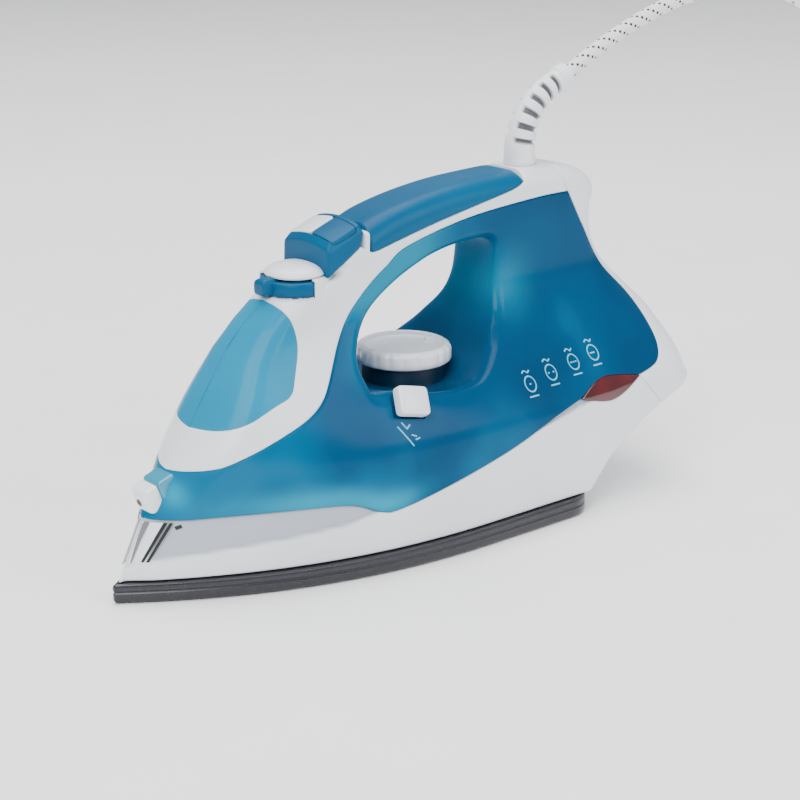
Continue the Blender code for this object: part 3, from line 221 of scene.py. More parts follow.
CORD_ROUTE = (
    (257, 0, 196), (270, 0, 203), (285, -0.3, 210), (300, -1, 216.3), (322, -2.5, 224),
    (348, -5, 229.5), (376, -8, 230.5), (402, -12, 225), (424, -16, 212), (440, -20, 191),
    (450, -24, 162), (456, -28, 127), (461, -32, 91), (468, -37, 58), (480, -44, 30),
    (500, -52, 10.5), (525, -58, 4.3), (550, -60, 4.0),
)
GUARD_ROUTE = ((228.5, 0, 158.5), (228.6, 0, 168), (232, 0, 178.5), (239, 0, 187), (248, 0, 192.4), (256.7, 0, 195.8))


@dataclass(frozen=True)
class Hull:
    """The body's outer skin: half width at each place of the side view."""

    bow_width: float = 51.0
    bow_length: float = 170.0
    bow_power: float = 2.3
    grip_width: float = 16.5
    shoulder_low: float = 48.0
    shoulder_high: float = 112.0
    nose_rounding: float = 14.0
    turret_station: float = LEVER_STATION
    turret_radius: float = TURRET_RADIUS
    turret_foot: float = 118.4
    opening_edge: float = 5.0

    def plan(self, s: np.ndarray) -> np.ndarray:
        """Half width of the bow: full width times one less (1 - s/length) to a power."""
        return self.bow_width * (1.0 - np.clip(1.0 - (s - 2.0) / self.bow_length, 0.0, None) ** self.bow_power)

    def half_width(self, s: np.ndarray, z: np.ndarray) -> np.ndarray:
        """The bow's plan, eased in to the grip's width above the shoulder, rounded at nose, top and opening.

        Args:
            s: distances from the tip.
            z: heights, of the same shape.

        Returns:
            Half widths of the same shape.
        """
        bow = self.plan(s)
        rise = smooth_step((z - self.shoulder_low) / (self.shoulder_high - self.shoulder_low))
        wide = bow + (np.minimum(self.grip_width, bow) - bow) * rise
        ridge = np.asarray(RIDGE)
        nose = np.clip((s - np.interp(z, ridge[:, 1], ridge[:, 0])) / self.nose_rounding, 0.0, 1.0)
        wide = np.where(z < 130.0, wide * np.sqrt(np.maximum(1.0 - (1.0 - nose) ** 2, 0.0)), wide)
        ahead = self.turret_station - s
        round_top = np.sqrt(np.maximum(self.turret_radius ** 2 - np.maximum(ahead, 0.0) ** 2, 0.0))
        wide = np.where(z > self.turret_foot, np.minimum(wide, round_top + np.maximum(-ahead, 0.0)), wide)
        place = np.stack([s, z], -1)
        top = np.vstack([smooth_curve(BLOCK_FRONT, 4), smooth_curve(GRIP_TOP, 4), smooth_curve(REAR, 6)])
        under = np.vstack([smooth_curve(HEEL_TOP, 6), smooth_curve(HEEL_FOOT, 6)])
        wide = wide - edge_loss(distance(place, top), np.minimum(0.55 * wide, 20.0))
        wide = wide - edge_loss(distance(place, under), np.minimum(4.0, 0.4 * wide))
        opening = smooth_curve(OPENING, 6)
        wide = wide - edge_loss(distance(place, opening), np.minimum(self.opening_edge, 0.4 * wide))
        return np.maximum(wide, 1.2)


HULL = Hull()


# ---------------------------------------------------------------- meshes from grids

def in_frame(points: np.ndarray) -> np.ndarray:
    """Places given as s, y and z in millimetres, as metres in the frame."""
    return (points - np.array([MIDDLE_STATION, 0.0, 0.0])) * MM


def grid_faces(rows: int, columns: int, wrap_rows: bool, wrap_columns: bool) -> np.ndarray:
    """Quads of a grid whose points are numbered row by row.

    Args:
        rows: number of rows.
        columns: points in a row.
        wrap_rows: whether the last row joins the first.
        wrap_columns: whether the last column joins the first.

    Returns:
        Four corner numbers for each quad.
    """
    i = np.arange(rows if wrap_rows else rows - 1)[:, None]
    j = np.arange(columns if wrap_columns else columns - 1)[None, :]
    after_i, after_j = (i + 1) % rows, (j + 1) % columns
    corners = [i * columns + j, i * columns + after_j, after_i * columns + after_j, after_i * columns + j]
    return np.stack([c.reshape(-1) for c in np.broadcast_arrays(*corners)], -1)


def make_piece(
    name: str, points: np.ndarray, faces: np.ndarray | list, sharp: float = 40.0, closed: bool = True,
    uv: Optional[np.ndarray] = None, shade: Optional[np.ndarray] = None,
) -> bpy.types.Object:
    """Puts points and faces into a mesh object, welds its seams and poles and turns its faces outwards.

    Args:
        name: the piece's name.
        points: places in s, y, z millimetres, one row each.
        faces: corner numbers, three or four to a face.
        sharp: angle in degrees past which an edge stays sharp.
        closed: whether the surface closes on itself, so that outwards is known.
        uv: two numbers for each point, if a pattern follows the surface.
        shade: one number for each point, stored as the attribute "shade", which mixes painted shade and glow into a
            finish's colour.

    Returns:
        The new object, at the origin.
    """
    mesh = bpy.data.meshes.new(name)
    mesh.from_pydata(in_frame(points).tolist(), [], faces if isinstance(faces, list) else faces.tolist())
    if uv is not None:
        corner = np.empty(len(mesh.loops), np.int32)
        mesh.loops.foreach_get("vertex_index", corner)
        mesh.uv_layers.new(name="UVMap").data.foreach_set("uv", uv[corner].astype(np.float32).reshape(-1))
    if shade is not None:
        mesh.attributes.new("shade", "FLOAT", "POINT").data.foreach_set("value", shade.astype(np.float32))
    shape = bmesh.new()
    shape.from_mesh(mesh)
    bmesh.ops.remove_doubles(shape, verts=shape.verts, dist=WELD)
    bmesh.ops.dissolve_degenerate(shape, edges=shape.edges, dist=WELD)
    bmesh.ops.delete(shape, geom=[edge for edge in shape.edges if not edge.link_faces], context="EDGES")
    bmesh.ops.delete(shape, geom=[vert for vert in shape.verts if not vert.link_faces], context="VERTS")
    if closed:
        bmesh.ops.recalc_face_normals(shape, faces=shape.faces)
    shape.to_mesh(mesh)
    shape.free()
    mesh.shade_smooth()
    mesh.set_sharp_from_angle(angle=math.radians(sharp))
    made = bpy.data.objects.new(name, mesh)
    bpy.context.scene.collection.objects.link(made)
    return made


def end_caps(count: int, last: int) -> list[list[int]]:
    """One face over each end of a grid whose rows are closed rings.

    Args:
        count: points in a row.
        last: number of the last row.

    Returns:
        The two faces' corner numbers.
    """
    return [list(range(count)), [k + last * count for k in reversed(range(count))]]


def both_skins(flat: np.ndarray, wide: np.ndarray, across: int) -> tuple[np.ndarray, np.ndarray, np.ndarray]:
    """Near skin at y = -w, the strip over its outer border, and far skin at y = +w.

    Args:
        flat: places in the side view, columns by rows by two.
        wide: half widths, columns by rows.
        across: points on the strip.

    Returns:
        The three grids of places in s, y, z.
    """
    near = np.stack([flat[..., 0], -wide, flat[..., 1]], -1)
    far = np.stack([flat[..., 0], wide, flat[..., 1]], -1)
    return near, strip_between(near[:, -1:], far[:, -1:], across), far


def strip_between(one: np.ndarray, other: np.ndarray, across: int) -> np.ndarray:
    """Evenly spaced places strictly between two borders."""
    share = np.linspace(0, 1, across + 2)[1:-1][None, :, None]
    return one * (1 - share) + other * share


@dataclass
class Region:
    """A patch of the side view between an outer and an inner curve, tied together at pairs of points."""

    outer: np.ndarray
    inner: np.ndarray
    ties: Sequence[tuple[tuple[float, float], tuple[float, float]]]
    step: float = 1.6
    rows: int = 30
    loop: bool = False

    def _positions(self, curve: np.ndarray, wanted: np.ndarray) -> np.ndarray:
        """Distance along a curve of the point nearest each wanted one, always moving forwards."""
        known, found, last = lengths(curve), [], 0
        for place in wanted:
            last += int(np.argmin(np.linalg.norm(curve[last:] - place, axis=1)))
            found.append(known[last])
        if self.loop:
            found[0], found[-1] = 0.0, known[-1]
        return np.array(found)

    def grid(self) -> np.ndarray:
        """Places of the patch: column by column along the curves, straight from inner to outer.

        Rows crowd towards both curves, where the edges are rounded: the share is t less a part of sin(2 pi t).

        Returns:
            Array of columns by rows by two.
        """
        ties = np.asarray(self.ties, float)
        out_at = self._positions(self.outer, ties[:, 0])
        in_at = self._positions(self.inner, ties[:, 1])
        spans = [
            np.linspace(k, k + 1, max(2, int(max(abs(out_at[k + 1] - out_at[k]), abs(in_at[k + 1] - in_at[k]))
                                             / self.step)), endpoint=False)
            for k in range(len(ties) - 1)
        ]
        u = np.concatenate(spans + ([] if self.loop else [[len(ties) - 1]]))
        knots = np.arange(len(ties))
        outer = sample(self.outer, np.interp(u, knots, out_at))
        inner = sample(self.inner, np.interp(u, knots, in_at))
        t = np.linspace(0, 1, self.rows)
        share = (t - 0.80 * np.sin(2 * np.pi * t) / (2 * np.pi))[None, :, None]
        return inner[:, None] * (1 - share) + outer[:, None] * share

    def outline(self, grid: np.ndarray) -> list[np.ndarray]:
        """The patch's own border as polylines."""
        edges = [grid[:, 0], grid[:, -1]]
        if self.loop:
            return [np.vstack([edge, edge[:1]]) for edge in edges]
        return edges + [grid[0], grid[-1]]


Deform = Callable[[np.ndarray], np.ndarray]


def shell_solid(
    name: str, region: Region, gap: float = 0.15, fillet: float = 0.9, across: int = 5,
    width: Optional[Callable[[np.ndarray, np.ndarray], np.ndarray]] = None, deform: Optional[Deform] = None,
    shade: Optional[Callable[[np.ndarray], np.ndarray]] = None, sharp: float = 40.0,
) -> bpy.types.Object:
    """Closed solid over a patch of the side view: each cross-section runs up the near skin, across, and down the far.

    The skins stand at y = -w and +w, where w is the hull's half width less a small round at the patch's border.
    Strips across join them along the border.

    Args:
        name: the piece's name.
        region: the patch.
        gap: how far the border is drawn in.
        fillet: radius of the border's round.
        across: points on a strip across.
        width: half width by s and z, instead of the hull's.
        deform: moves the finished points, given in s, y, z millimetres.
        shade: value of the "shade" attribute by place.
        sharp: angle in degrees past which an edge stays sharp.

    Returns:
        The new object.
    """
    grid = region.grid()
    depth = np.min([distance(grid, line) for line in region.outline(grid)], axis=0)
    wide = (width or HULL.half_width)(grid[..., 0], grid[..., 1])
    wide = np.maximum(wide - gap - edge_loss(depth, np.full_like(depth, fillet)), 0.35)
    near, over, far = both_skins(grid, wide, across)
    under = strip_between(far[:, :1], near[:, :1], across)
    ring = np.concatenate([near, over, far[:, ::-1], under], axis=1)
    points = ring.reshape(-1, 3)
    faces = grid_faces(len(grid), ring.shape[1], region.loop, True).tolist()
    if not region.loop:
        faces += end_caps(ring.shape[1], len(grid) - 1)
    if deform:
        points = deform(points)
    return make_piece(name, points, faces, sharp, shade=shade(points) if shade else None)


def turned(
    name: str, profile: Curve, centre: Sequence[float], sides: int = 96,
    radius: Optional[Callable[[np.ndarray, np.ndarray, np.ndarray], np.ndarray]] = None, sharp: float = 40.0,
    axis: Sequence[float] = (0, 0, 1), span: tuple[float, float] = (0.0, 360.0),
) -> bpy.types.Object:
    """Solid of revolution: at angle a the profile's point (r, h) stands at r cos a, r sin a, h.

    Args:
        name: the piece's name.
        profile: radius and height from foot to head, closed on the axis or on itself.
        centre: the axis's foot, in s, y, z.
        sides: steps round the axis.
        radius: new radius from angle, radius and height, for flutes and ribs.
        sharp: angle in degrees past which an edge stays sharp.
        axis: direction of the axis.
        span: first and last angle in degrees, for a profile that goes part of the way round.

    Returns:
        The new object.
    """
    outline = np.asarray(profile, float)
    whole = span[1] - span[0] >= 360.0
    angle = np.radians(np.linspace(*span, sides, endpoint=not whole))[:, None]
    reach, height = outline[None, :, 0], outline[None, :, 1]
    if radius:
        reach = radius(angle, reach, height)
    x, y = reach * np.cos(angle), reach * np.sin(angle)
    local = np.stack(np.broadcast_arrays(x, y, height), -1).reshape(-1, 3)
    turn = np.array(Vector(axis).to_track_quat("Z", "Y").to_matrix())
    closed = outline[0, 0] > 1e-6
    faces = grid_faces(sides, len(outline), whole, closed).tolist()
    if not whole:
        faces += end_caps(len(outline), sides - 1)
    return make_piece(name, local @ turn.T + np.asarray(centre, float), faces, sharp)


def frames_along(path: np.ndarray) -> tuple[np.ndarray, np.ndarray]:
    """Two directions square to a path at each point: across it, level, and the third square to both."""
    ahead = np.gradient(path, axis=0)
    ahead /= np.linalg.norm(ahead, axis=1, keepdims=True)
    level = np.cross(ahead, np.array([0.0, 0.0, 1.0]))
    level += np.array([0.0, 1e-6, 0.0])
    for k in range(1, len(level)):
        if np.linalg.norm(level[k]) < 0.05:
            level[k] = level[k - 1]
        if level[k] @ level[k - 1] < 0:
            level[k] = -level[k]
    level /= np.linalg.norm(level, axis=1, keepdims=True)
    return level, np.cross(level, ahead)


def swept(
    name: str, path: np.ndarray, radius: np.ndarray, sides: int = 24, caps: bool = True, sharp: float = 50.0,
    uv_scale: Optional[tuple[float, float]] = None, shade: Optional[np.ndarray] = None,
) -> bpy.types.Object:
    """Tube along a path: point (i, a) stands at the path plus r(i, a) times (cos a across + sin a up).

    Args:
        name: the piece's name.
        path: places in s, y, z.
        radius: radius for each path point, or for each path point and angle.
        sides: steps round the tube.
        caps: whether each end runs in to a point on the path.
        sharp: angle in degrees past which an edge stays sharp.
        uv_scale: what a millimetre along and a turn round count in the UV map.
        shade: value of the "shade" attribute by path point and angle.

    Returns:
        The new object.
    """
    across, up = frames_along(path)
    angle = np.linspace(0, 2 * np.pi, sides + 1)[None, :]
    wide = radius if radius.ndim == 2 else np.broadcast_to(radius[:, None], (len(path), sides))
    wide = np.concatenate([wide, wide[:, :1]], 1)
    ring = path[:, None] + (
        (wide * np.cos(angle))[..., None] * across[:, None] + (wide * np.sin(angle))[..., None] * up[:, None]
    )
    run = lengths(path)
    if shade is not None:
        shade = np.concatenate([shade, shade[:, :1]], 1)
    if caps:
        ends = [np.repeat(path[k, None, None], sides + 1, 1) for k in (0, -1)]
        ring = np.concatenate([ends[0], ring, ends[1]])
        run = np.concatenate([run[:1], run, run[-1:]])
        shade = None if shade is None else np.concatenate([shade[:1], shade, shade[-1:]])
    uv = None
    if uv_scale:
        turn = np.broadcast_to(np.linspace(0, 1, sides + 1)[None, :] * uv_scale[1], ring.shape[:2])
        uv = np.stack([np.broadcast_to(run[:, None] * uv_scale[0], ring.shape[:2]), turn], -1).reshape(-1, 2)
    faces = grid_faces(len(ring), sides + 1, False, False)
    shade = None if shade is None else shade.reshape(-1)
    return make_piece(name, ring.reshape(-1, 3), faces, sharp, uv=uv, shade=shade)


def rounded_box(
    name: str, centre: Sequence[float], size: Sequence[float], round_by: float, axes: np.ndarray,
    crown: float = 0.0, bulge: float = 6.0, detail: int = 14,
) -> bpy.types.Object:
    """Soft-cornered box on a ball's grid: each direction d becomes sign(d)|d|^(2/p) on the half sizes.

    Args:
        name: the piece's name.
        centre: middle of the box, in s, y, z.
        size: full size along its own three axes.
        round_by: how round the plan's corners are, from 0 for square to 1 for an ellipse.
        axes: its own axes as rows.
        crown: how far the middle of the top stands over its rim.
        bulge: power of the side profile; more is squarer.
        detail: steps from middle to edge.

    Returns:
        The new object.
    """
    power = 2.0 + 10.0 * (1.0 - round_by)
    turn = np.linspace(0, 2 * np.pi, 12 * detail, endpoint=False)[None, :]
    rise = np.linspace(-np.pi / 2, np.pi / 2, 4 * detail + 1)[:, None]
    flat = signed_power(np.cos(rise), 2.0 / bulge)
    x = flat * signed_power(np.cos(turn), 2.0 / power) * size[0] / 2
    y = flat * signed_power(np.sin(turn), 2.0 / power) * size[1] / 2
    lift = crown * np.clip(1 - (2 * x / size[0]) ** 2, 0, 1) * np.clip(1 - (2 * y / size[1]) ** 2, 0, 1)
    z = signed_power(np.sin(rise), 2.0 / bulge) * size[2] / 2 + np.where(rise > 0, lift, 0.0)
    local = np.stack(np.broadcast_arrays(x, y, z), -1).reshape(-1, 3)
    faces = grid_faces(4 * detail + 1, 12 * detail, False, True)
    return make_piece(name, local @ axes + np.asarray(centre, float), faces, 60.0)


def skin_strip(
    name: str, low: Curve, high: Curve, lift: float = 0.12, step: float = 1.0, side: int = -1, thick: float = 0.25,
) -> bpy.types.Object:
    """Thin strip lying on the hull between two side-view curves: y is the half width plus a lift.

    Args:
        name: the piece's name.
        low: one edge, as s and z.
        high: the other edge, as s and z.
        lift: how far its face stands over the hull.
        step: spacing of its points.
        side: -1 for the near side, 1 for the far.
        thick: how far it reaches inwards.

    Returns:
        The new object.
    """
    count = max(4, int(lengths(np.asarray(low, float))[-1] / step))
    first = sample(smooth_curve(low), np.linspace(0, lengths(smooth_curve(low))[-1], count))
    second = sample(smooth_curve(high), np.linspace(0, lengths(smooth_curve(high))[-1], count))
    share = np.linspace(0, 1, 7)[None, :, None]
    grid = first[:, None] * (1 - share) + second[:, None] * share
    wide = HULL.half_width(grid[..., 0], grid[..., 1]) + lift
    face = np.stack([grid[..., 0], side * wide, grid[..., 1]], -1)
    back = face - np.array([0.0, side * thick, 0.0])
    ring = np.concatenate([face, back[:, ::-1]], 1)
    faces = grid_faces(count, 14, False, True)
    j = np.arange(6)
    cap = np.stack([j, j + 1, 12 - j, 13 - j], -1)
    return make_piece(name, ring.reshape(-1, 3), np.vstack([faces, cap, cap[:, ::-1] + (count - 1) * 14]), 60.0)


def carve(piece: bpy.types.Object, *cutters: bpy.types.Object) -> bpy.types.Object:
    """Cuts solids out of a piece and throws them away.

    Args:
        piece: what is cut.
        cutters: closed solids.

    Returns:
        The piece, with the cuts in its mesh.
    """
    for cutter in cutters:
        step = piece.modifiers.new("cut", "BOOLEAN")
        step.operation = "DIFFERENCE"
        step.solver = "EXACT"
        step.object = cutter
        graph = bpy.context.evaluated_depsgraph_get()
        graph.update()
        mesh = bpy.data.meshes.new_from_object(piece.evaluated_get(graph))
        piece.modifiers.clear()
        piece.data = mesh
        bpy.data.objects.remove(cutter, do_unlink=True)
    piece.data.shade_smooth()
    piece.data.set_sharp_from_angle(angle=math.radians(35))
    return piece


def hood(name: str, region: Region, wall: float, gap: float = 0.3, across: int = 11) -> bpy.types.Object:
    """Thin hood over a patch: near skin, strip across the outer curve and far skin, twice, a wall apart.

    The inner skin is drawn in by the wall across, and by the wall times the row's share along each tie.

    Args:
        name: the piece's name.
        region: the patch; the hood is open along its inner curve.
        wall: thickness.
        gap: how far it is drawn in.
        across: points on the strip across.

    Returns:
        The new object.
    """
    grid = region.grid()
    back = grid[:, :1] - grid[:, -1:]
    back /= np.maximum(np.linalg.norm(back, axis=-1, keepdims=True), wall)
    pull = back * wall * np.linspace(0, 1, grid.shape[1])[None, :, None]
    skins = []
    for flat, inset in ((grid, 0.0), (grid + pull, wall)):
        wide = HULL.half_width(grid[..., 0], grid[..., 1]) - gap - inset
        depth = distance(grid, region.outline(grid)[1])
        wide = np.maximum(wide - edge_loss(depth, np.full_like(depth, 3.0)), 0.6)
        near, over, far = both_skins(flat, wide, across)
        skins.append(np.concatenate([near, over, far[:, ::-1]], axis=1))
    ring = np.concatenate([skins[0], skins[1][:, ::-1]], axis=1)
    return make_piece(name, ring.reshape(-1, 3), grid_faces(len(ring), ring.shape[1], False, True), 50.0)


def bent(piece: bpy.types.Object, deform: Deform) -> bpy.types.Object:
    """Moves a piece's points by a rule in s, y, z millimetres, and gives the piece back."""
    points = np.empty(len(piece.data.vertices) * 3, np.float32)
    piece.data.vertices.foreach_get("co", points)
    local = points.reshape(-1, 3).astype(float) / MM + [MIDDLE_STATION, 0, 0]
    piece.data.vertices.foreach_set("co", in_frame(deform(local)).astype(np.float32).reshape(-1))
    piece.data.update()
    return piece


# ---------------------------------------------------------------- finishes

def add(tree: bpy.types.NodeTree, kind: str, inputs: Optional[dict] = None, **settings: object) -> bpy.types.Node:
    """Adds one node.

    Args:
        tree: where it goes.
        kind: its type.
        inputs: values for its sockets, or sockets to link to them, by name or number.
        settings: its own properties.

    Returns:
        The node.
    """
    node = tree.nodes.new(kind)
    for key, value in settings.items():
        setattr(node, key, value)
    for key, value in (inputs or {}).items():
        if isinstance(value, bpy.types.NodeSocket):
            tree.links.new(value, node.inputs[key])
        else:
            node.inputs[key].default_value = value
    return node


def ramp(
    tree: bpy.types.NodeTree, factor: bpy.types.NodeSocket, stops: Sequence[tuple[float, str]],
) -> bpy.types.NodeSocket:
    """Colour from a factor through hex colours at given places."""
    node = add(tree, "ShaderNodeValToRGB", {"Fac": factor})
    elements = node.color_ramp.elements
    while len(elements) < len(stops):
        elements.new(0.5)
    for element, (at, code) in zip(elements, stops):
        element.position = at
        element.color = linear(code)
    return node.outputs["Color"]


def maths(tree: bpy.types.NodeTree, operation: str, one: bpy.types.NodeSocket, other: object) -> bpy.types.NodeSocket:
    """Result of one maths node on a socket and a second socket or number."""
    return add(tree, "ShaderNodeMath", {0: one, 1: other}, operation=operation).outputs[0]


@dataclass(frozen=True)
class Finish:
    """One real material and how its surface was made, with any painted shade and painted light that it carries."""

    name: str
    slot: str
    colours: tuple[tuple[float, str], ...]
    pattern: Pattern = Pattern.MOULDED
    roughness: tuple[float, float] = (0.28, 0.36)
    drift_mm: float = 55.0
    grain_mm: float = 0.5
    relief_mm: float = 0.012
    metallic: float = 0.0
    ior: float = 1.5
    coat: float = 0.0
    transmission: float = 0.0
    # Colour that the "shade" attribute mixes in: painted shade on the skirt and the guard, painted glow on the tank.
    painted_shade_and_glow: Optional[str] = None
    # Painted light: lean makes the colour lighter one way along the piece.
    lean: tuple[float, float, float] = (0.0, 0.0, 0.0)
    shine: float = 0.5

    def _height(self, tree: bpy.types.NodeTree, place: bpy.types.NodeSocket) -> bpy.types.NodeSocket:
        """Relief by pattern: grain, ripple, drawn lines, cast skin or coat."""
        size = 1.0 / (self.grain_mm * MM)
        if self.pattern is Pattern.BRUSHED:
            drawn = add(tree, "ShaderNodeMapping", {"Vector": place, "Scale": (0.05, 1.0, 1.0)})
            place = drawn.outputs["Vector"]
        detail = {Pattern.POLISHED: 1.0, Pattern.CAST: 6.0}.get(self.pattern, 3.0)
        noise = add(tree, "ShaderNodeTexNoise", {"Vector": place, "Scale": size, "Detail": detail})
        return noise.outputs["Fac"]

    def _strands(self, tree: bpy.types.NodeTree) -> tuple[bpy.types.NodeSocket, bpy.types.NodeSocket]:
        """Height and fleck of the braid: two families of strands at u + v and u - v, each a triangle wave."""
        flat = add(tree, "ShaderNodeSeparateXYZ", {0: add(tree, "ShaderNodeTexCoord").outputs["UV"]}).outputs
        right = maths(tree, "ADD", flat["X"], flat["Y"])
        left = maths(tree, "SUBTRACT", flat["X"], flat["Y"])
        height = maths(tree, "MULTIPLY", *[maths(tree, "PINGPONG", way, 0.5) for way in (right, left)])
        dark = [
            maths(tree, "LESS_THAN", maths(tree, "FLOORED_MODULO", way, period), 1.0)
            for way, period in ((right, 4.0), (left, 2.0))
        ]
        fleck = maths(tree, "MULTIPLY", *dark)
        return height, fleck

    def _colour(self, tree: bpy.types.NodeTree, place: bpy.types.NodeSocket) -> bpy.types.NodeSocket:
        """Colour drifting between the finish's own tones by a soft noise, plus painted light as a lean along the
        piece, and painted shade and glow mixed in by the "shade" attribute.
        """
        cloud = add(tree, "ShaderNodeTexNoise", {"Vector": place, "Scale": 1.0 / (self.drift_mm * MM), "Detail": 1.5})
        factor = cloud.outputs["Fac"]
        # Painted light: the colour leans lighter along the piece.
        if any(self.lean):
            along = add(tree, "ShaderNodeVectorMath", {0: place, 1: self.lean}, operation="DOT_PRODUCT")
            factor = maths(tree, "ADD", factor, along.outputs["Value"])
        colour = ramp(tree, factor, self.colours)
        # Painted shade and glow: the "shade" attribute mixes in the finish's shading colour.
        if self.painted_shade_and_glow:
            shade = add(tree, "ShaderNodeAttribute", attribute_name="shade").outputs["Fac"]
            mixed = add(tree, "ShaderNodeMix", {0: shade, 6: colour, 7: linear(self.painted_shade_and_glow)}, data_type="RGBA")
            colour = mixed.outputs[2]
        return colour

    def material(self) -> bpy.types.Material:
        """Builds the finish once, and gives the same material after that."""
        known = bpy.data.materials.get(self.name)
        if known:
            return known
        made = bpy.data.materials.new(self.name)
        made.use_nodes = True
        tree = made.node_tree
        shader = tree.nodes["Principled BSDF"]
        place = add(tree, "ShaderNodeTexCoord").outputs["Object"]
        if self.pattern is Pattern.BRAIDED:
            height, fleck = self._strands(tree)
            colour = ramp(tree, fleck, self.colours)
        else:
            height, colour = self._height(tree, place), self._colour(tree, place)
        tree.links.new(colour, shader.inputs["Base Color"])
        wear = add(tree, "ShaderNodeTexNoise", {"Vector": place, "Scale": 1.0 / (9.0 * MM), "Detail": 3.0})
        low, high = self.roughness
        spread = {"Value": wear.outputs["Fac"], "From Min": 0.3, "From Max": 0.7, "To Min": low, "To Max": high}
        rough = add(tree, "ShaderNodeMapRange", spread)
        tree.links.new(rough.outputs["Result"], shader.inputs["Roughness"])
        bump = add(tree, "ShaderNodeBump", {"Height": height, "Strength": 0.6, "Distance": self.relief_mm * MM})
        tree.links.new(bump.outputs["Normal"], shader.inputs["Normal"])
        shader.inputs["Metallic"].default_value = self.metallic
        if not self.metallic:
            shader.inputs["IOR"].default_value = self.ior
        shader.inputs["Specular IOR Level"].default_value = self.shine
        shader.inputs["Coat Weight"].default_value = self.coat
        shader.inputs["Coat Roughness"].default_value = 0.06
        shader.inputs["Transmission Weight"].default_value = self.transmission
        if self.pattern is Pattern.BRAIDED:
            shader.inputs["Sheen Weight"].default_value = 0.4
            shader.inputs["Sheen Roughness"].default_value = 0.5
        return made


# White acrylonitrile butadiene styrene, injection moulded with a fine satin: a cool white with soft broad gloss; its
# grey is painted shade, mixed in by the "shade" attribute in the skirt's hollow.
WHITE_ABS = Finish("satin_white_abs", "white_abs", ((0.3, "DDE1E8"), (0.7, "E8EBF0")), coat=0.1, painted_shade_and_glow="8E96A6")
# The dial and buttons are the same plastic out of a glossier tool.
GLOSS_ABS = Finish("gloss_white_abs", "white_abs", ((0.3, "DFE3EA"), (0.7, "ECEFF3")), roughness=(0.2, 0.28), coat=0.2)
# Tinted polycarbonate tank, polished tool: deep blue and smooth; its lighter teal is painted light, a lean lighter
# towards the nose and a painted glow where light would come through, mixed in by the "shade" attribute.
TANK_POLYCARBONATE = Finish(
    "tinted_polycarbonate", "blue_tank", ((0.30, "003C60"), (0.5, "00466C"), (0.72, "006288")),
    Pattern.POLISHED, (0.16, 0.24), drift_mm=48, grain_mm=26, relief_mm=0.05, ior=1.5, shine=0.1,
    painted_shade_and_glow="0096B4", lean=(-1.2, 0.0, 0.0),
)
# The filler cover is a cyan polycarbonate, half clear, smooth and brighter than the tank.
COVER_POLYCARBONATE = Finish(
    "clear_cyan_polycarbonate", "cyan_visor", ((0.3, "0084AC"), (0.7, "0096BE")),
    Pattern.POLISHED, (0.12, 0.18), grain_mm=30, relief_mm=0.03, ior=1.4, transmission=0.22, shine=0.06,
)
# The block behind the nozzle is the tank's plastic in its thin end, its brighter colour painted light where light
# comes through, with a little real transmission.
NECK_POLYCARBONATE = Finish(
    "painted_lit_polycarbonate", "cyan_visor", ((0.3, "007C9C"), (0.7, "0094B0")), Pattern.POLISHED, (0.16, 0.24),
    grain_mm=20, relief_mm=0.03, ior=1.585, coat=0.4, transmission=0.1,
)
# Blue ABS of the grip, lever and button block: satin, a little greyer where the sky falls on it.
BLUE_ABS = Finish(
    "blue_satin_abs", "blue_grip", ((0.3, "004A70"), (0.7, "00567C")), roughness=(0.34, 0.42), shine=0.15,
)
# Dark blue ABS ring under the dial, half in shade.
NAVY_ABS = Finish("satin_navy_abs", "navy_abs", ((0.3, "002238"), (0.7, "002C46")), roughness=(0.35, 0.45), shine=0.3)
# Aluminium with a sprayed non-stick coat: near black, soft sheen, tiny paler flecks.
COATED_SOLE = Finish(
    "ptfe_coated_aluminium", "sole_coat", ((0.35, "17181E"), (0.62, "1E1F27"), (0.78, "30313A")),
    Pattern.COATED, (0.26, 0.36), drift_mm=0.9, grain_mm=0.45, relief_mm=0.008, coat=0.1,
)
# Die cast aluminium of the heater: bright grey with a rough skin.
CAST_ALUMINIUM = Finish(
    "rough_cast_aluminium", "cast_aluminium", ((0.3, "8C8E92"), (0.7, "A6A8AB")), Pattern.CAST, (0.38, 0.52),
    grain_mm=0.9, relief_mm=0.05, metallic=1.0,
)
# Drawn stainless steel of shafts, pins and plates: fine lines along the draw.
DRAWN_STEEL = Finish(
    "drawn_stainless_steel", "steel", ((0.3, "9FA1A4"), (0.7, "B8BABD")), Pattern.BRUSHED, (0.22, 0.34),
    grain_mm=0.35, relief_mm=0.008, metallic=1.0,
)
# Chromed strip on the nose: dark and bright bands from the studio.
CHROME = Finish(
    "chrome_plated_abs", "chrome_trim", ((0.3, "D2D4D8"), (0.7, "E4E6E9")), Pattern.POLISHED, (0.05, 0.09),
    grain_mm=18, relief_mm=0.01, metallic=1.0,
)
# Red tinted lamp lens, darker where it is thick.
RED_LENS = Finish(
    "red_acrylic", "red_lens", ((0.3, "3E0A10"), (0.7, "621018")), Pattern.POLISHED, (0.08, 0.14), drift_mm=16,
    grain_mm=12, relief_mm=0.03, ior=1.49, coat=0.5, transmission=0.15,
)
# Natural nylon is creamy and waxy; the rubber of the strap is dull, and the dark of the recesses is a dull near-black
# painted shade, standing for shadow in holes and gaps.
NYLON = Finish("natural_nylon", "nylon", ((0.3, "D8D4C6"), (0.7, "E4E1D6")), roughness=(0.4, 0.5), ior=1.53)
RUBBER = Finish("black_nitrile_rubber", "black_rubber", ((0.3, "17181A"), (0.7, "222326")), roughness=(0.55, 0.7))
PAINTED_GAP_SHADE = Finish("painted_recess_shade", "black_rubber", ((0.3, "0B0C10"), (0.7, "14151A")), roughness=(0.3, 0.4))
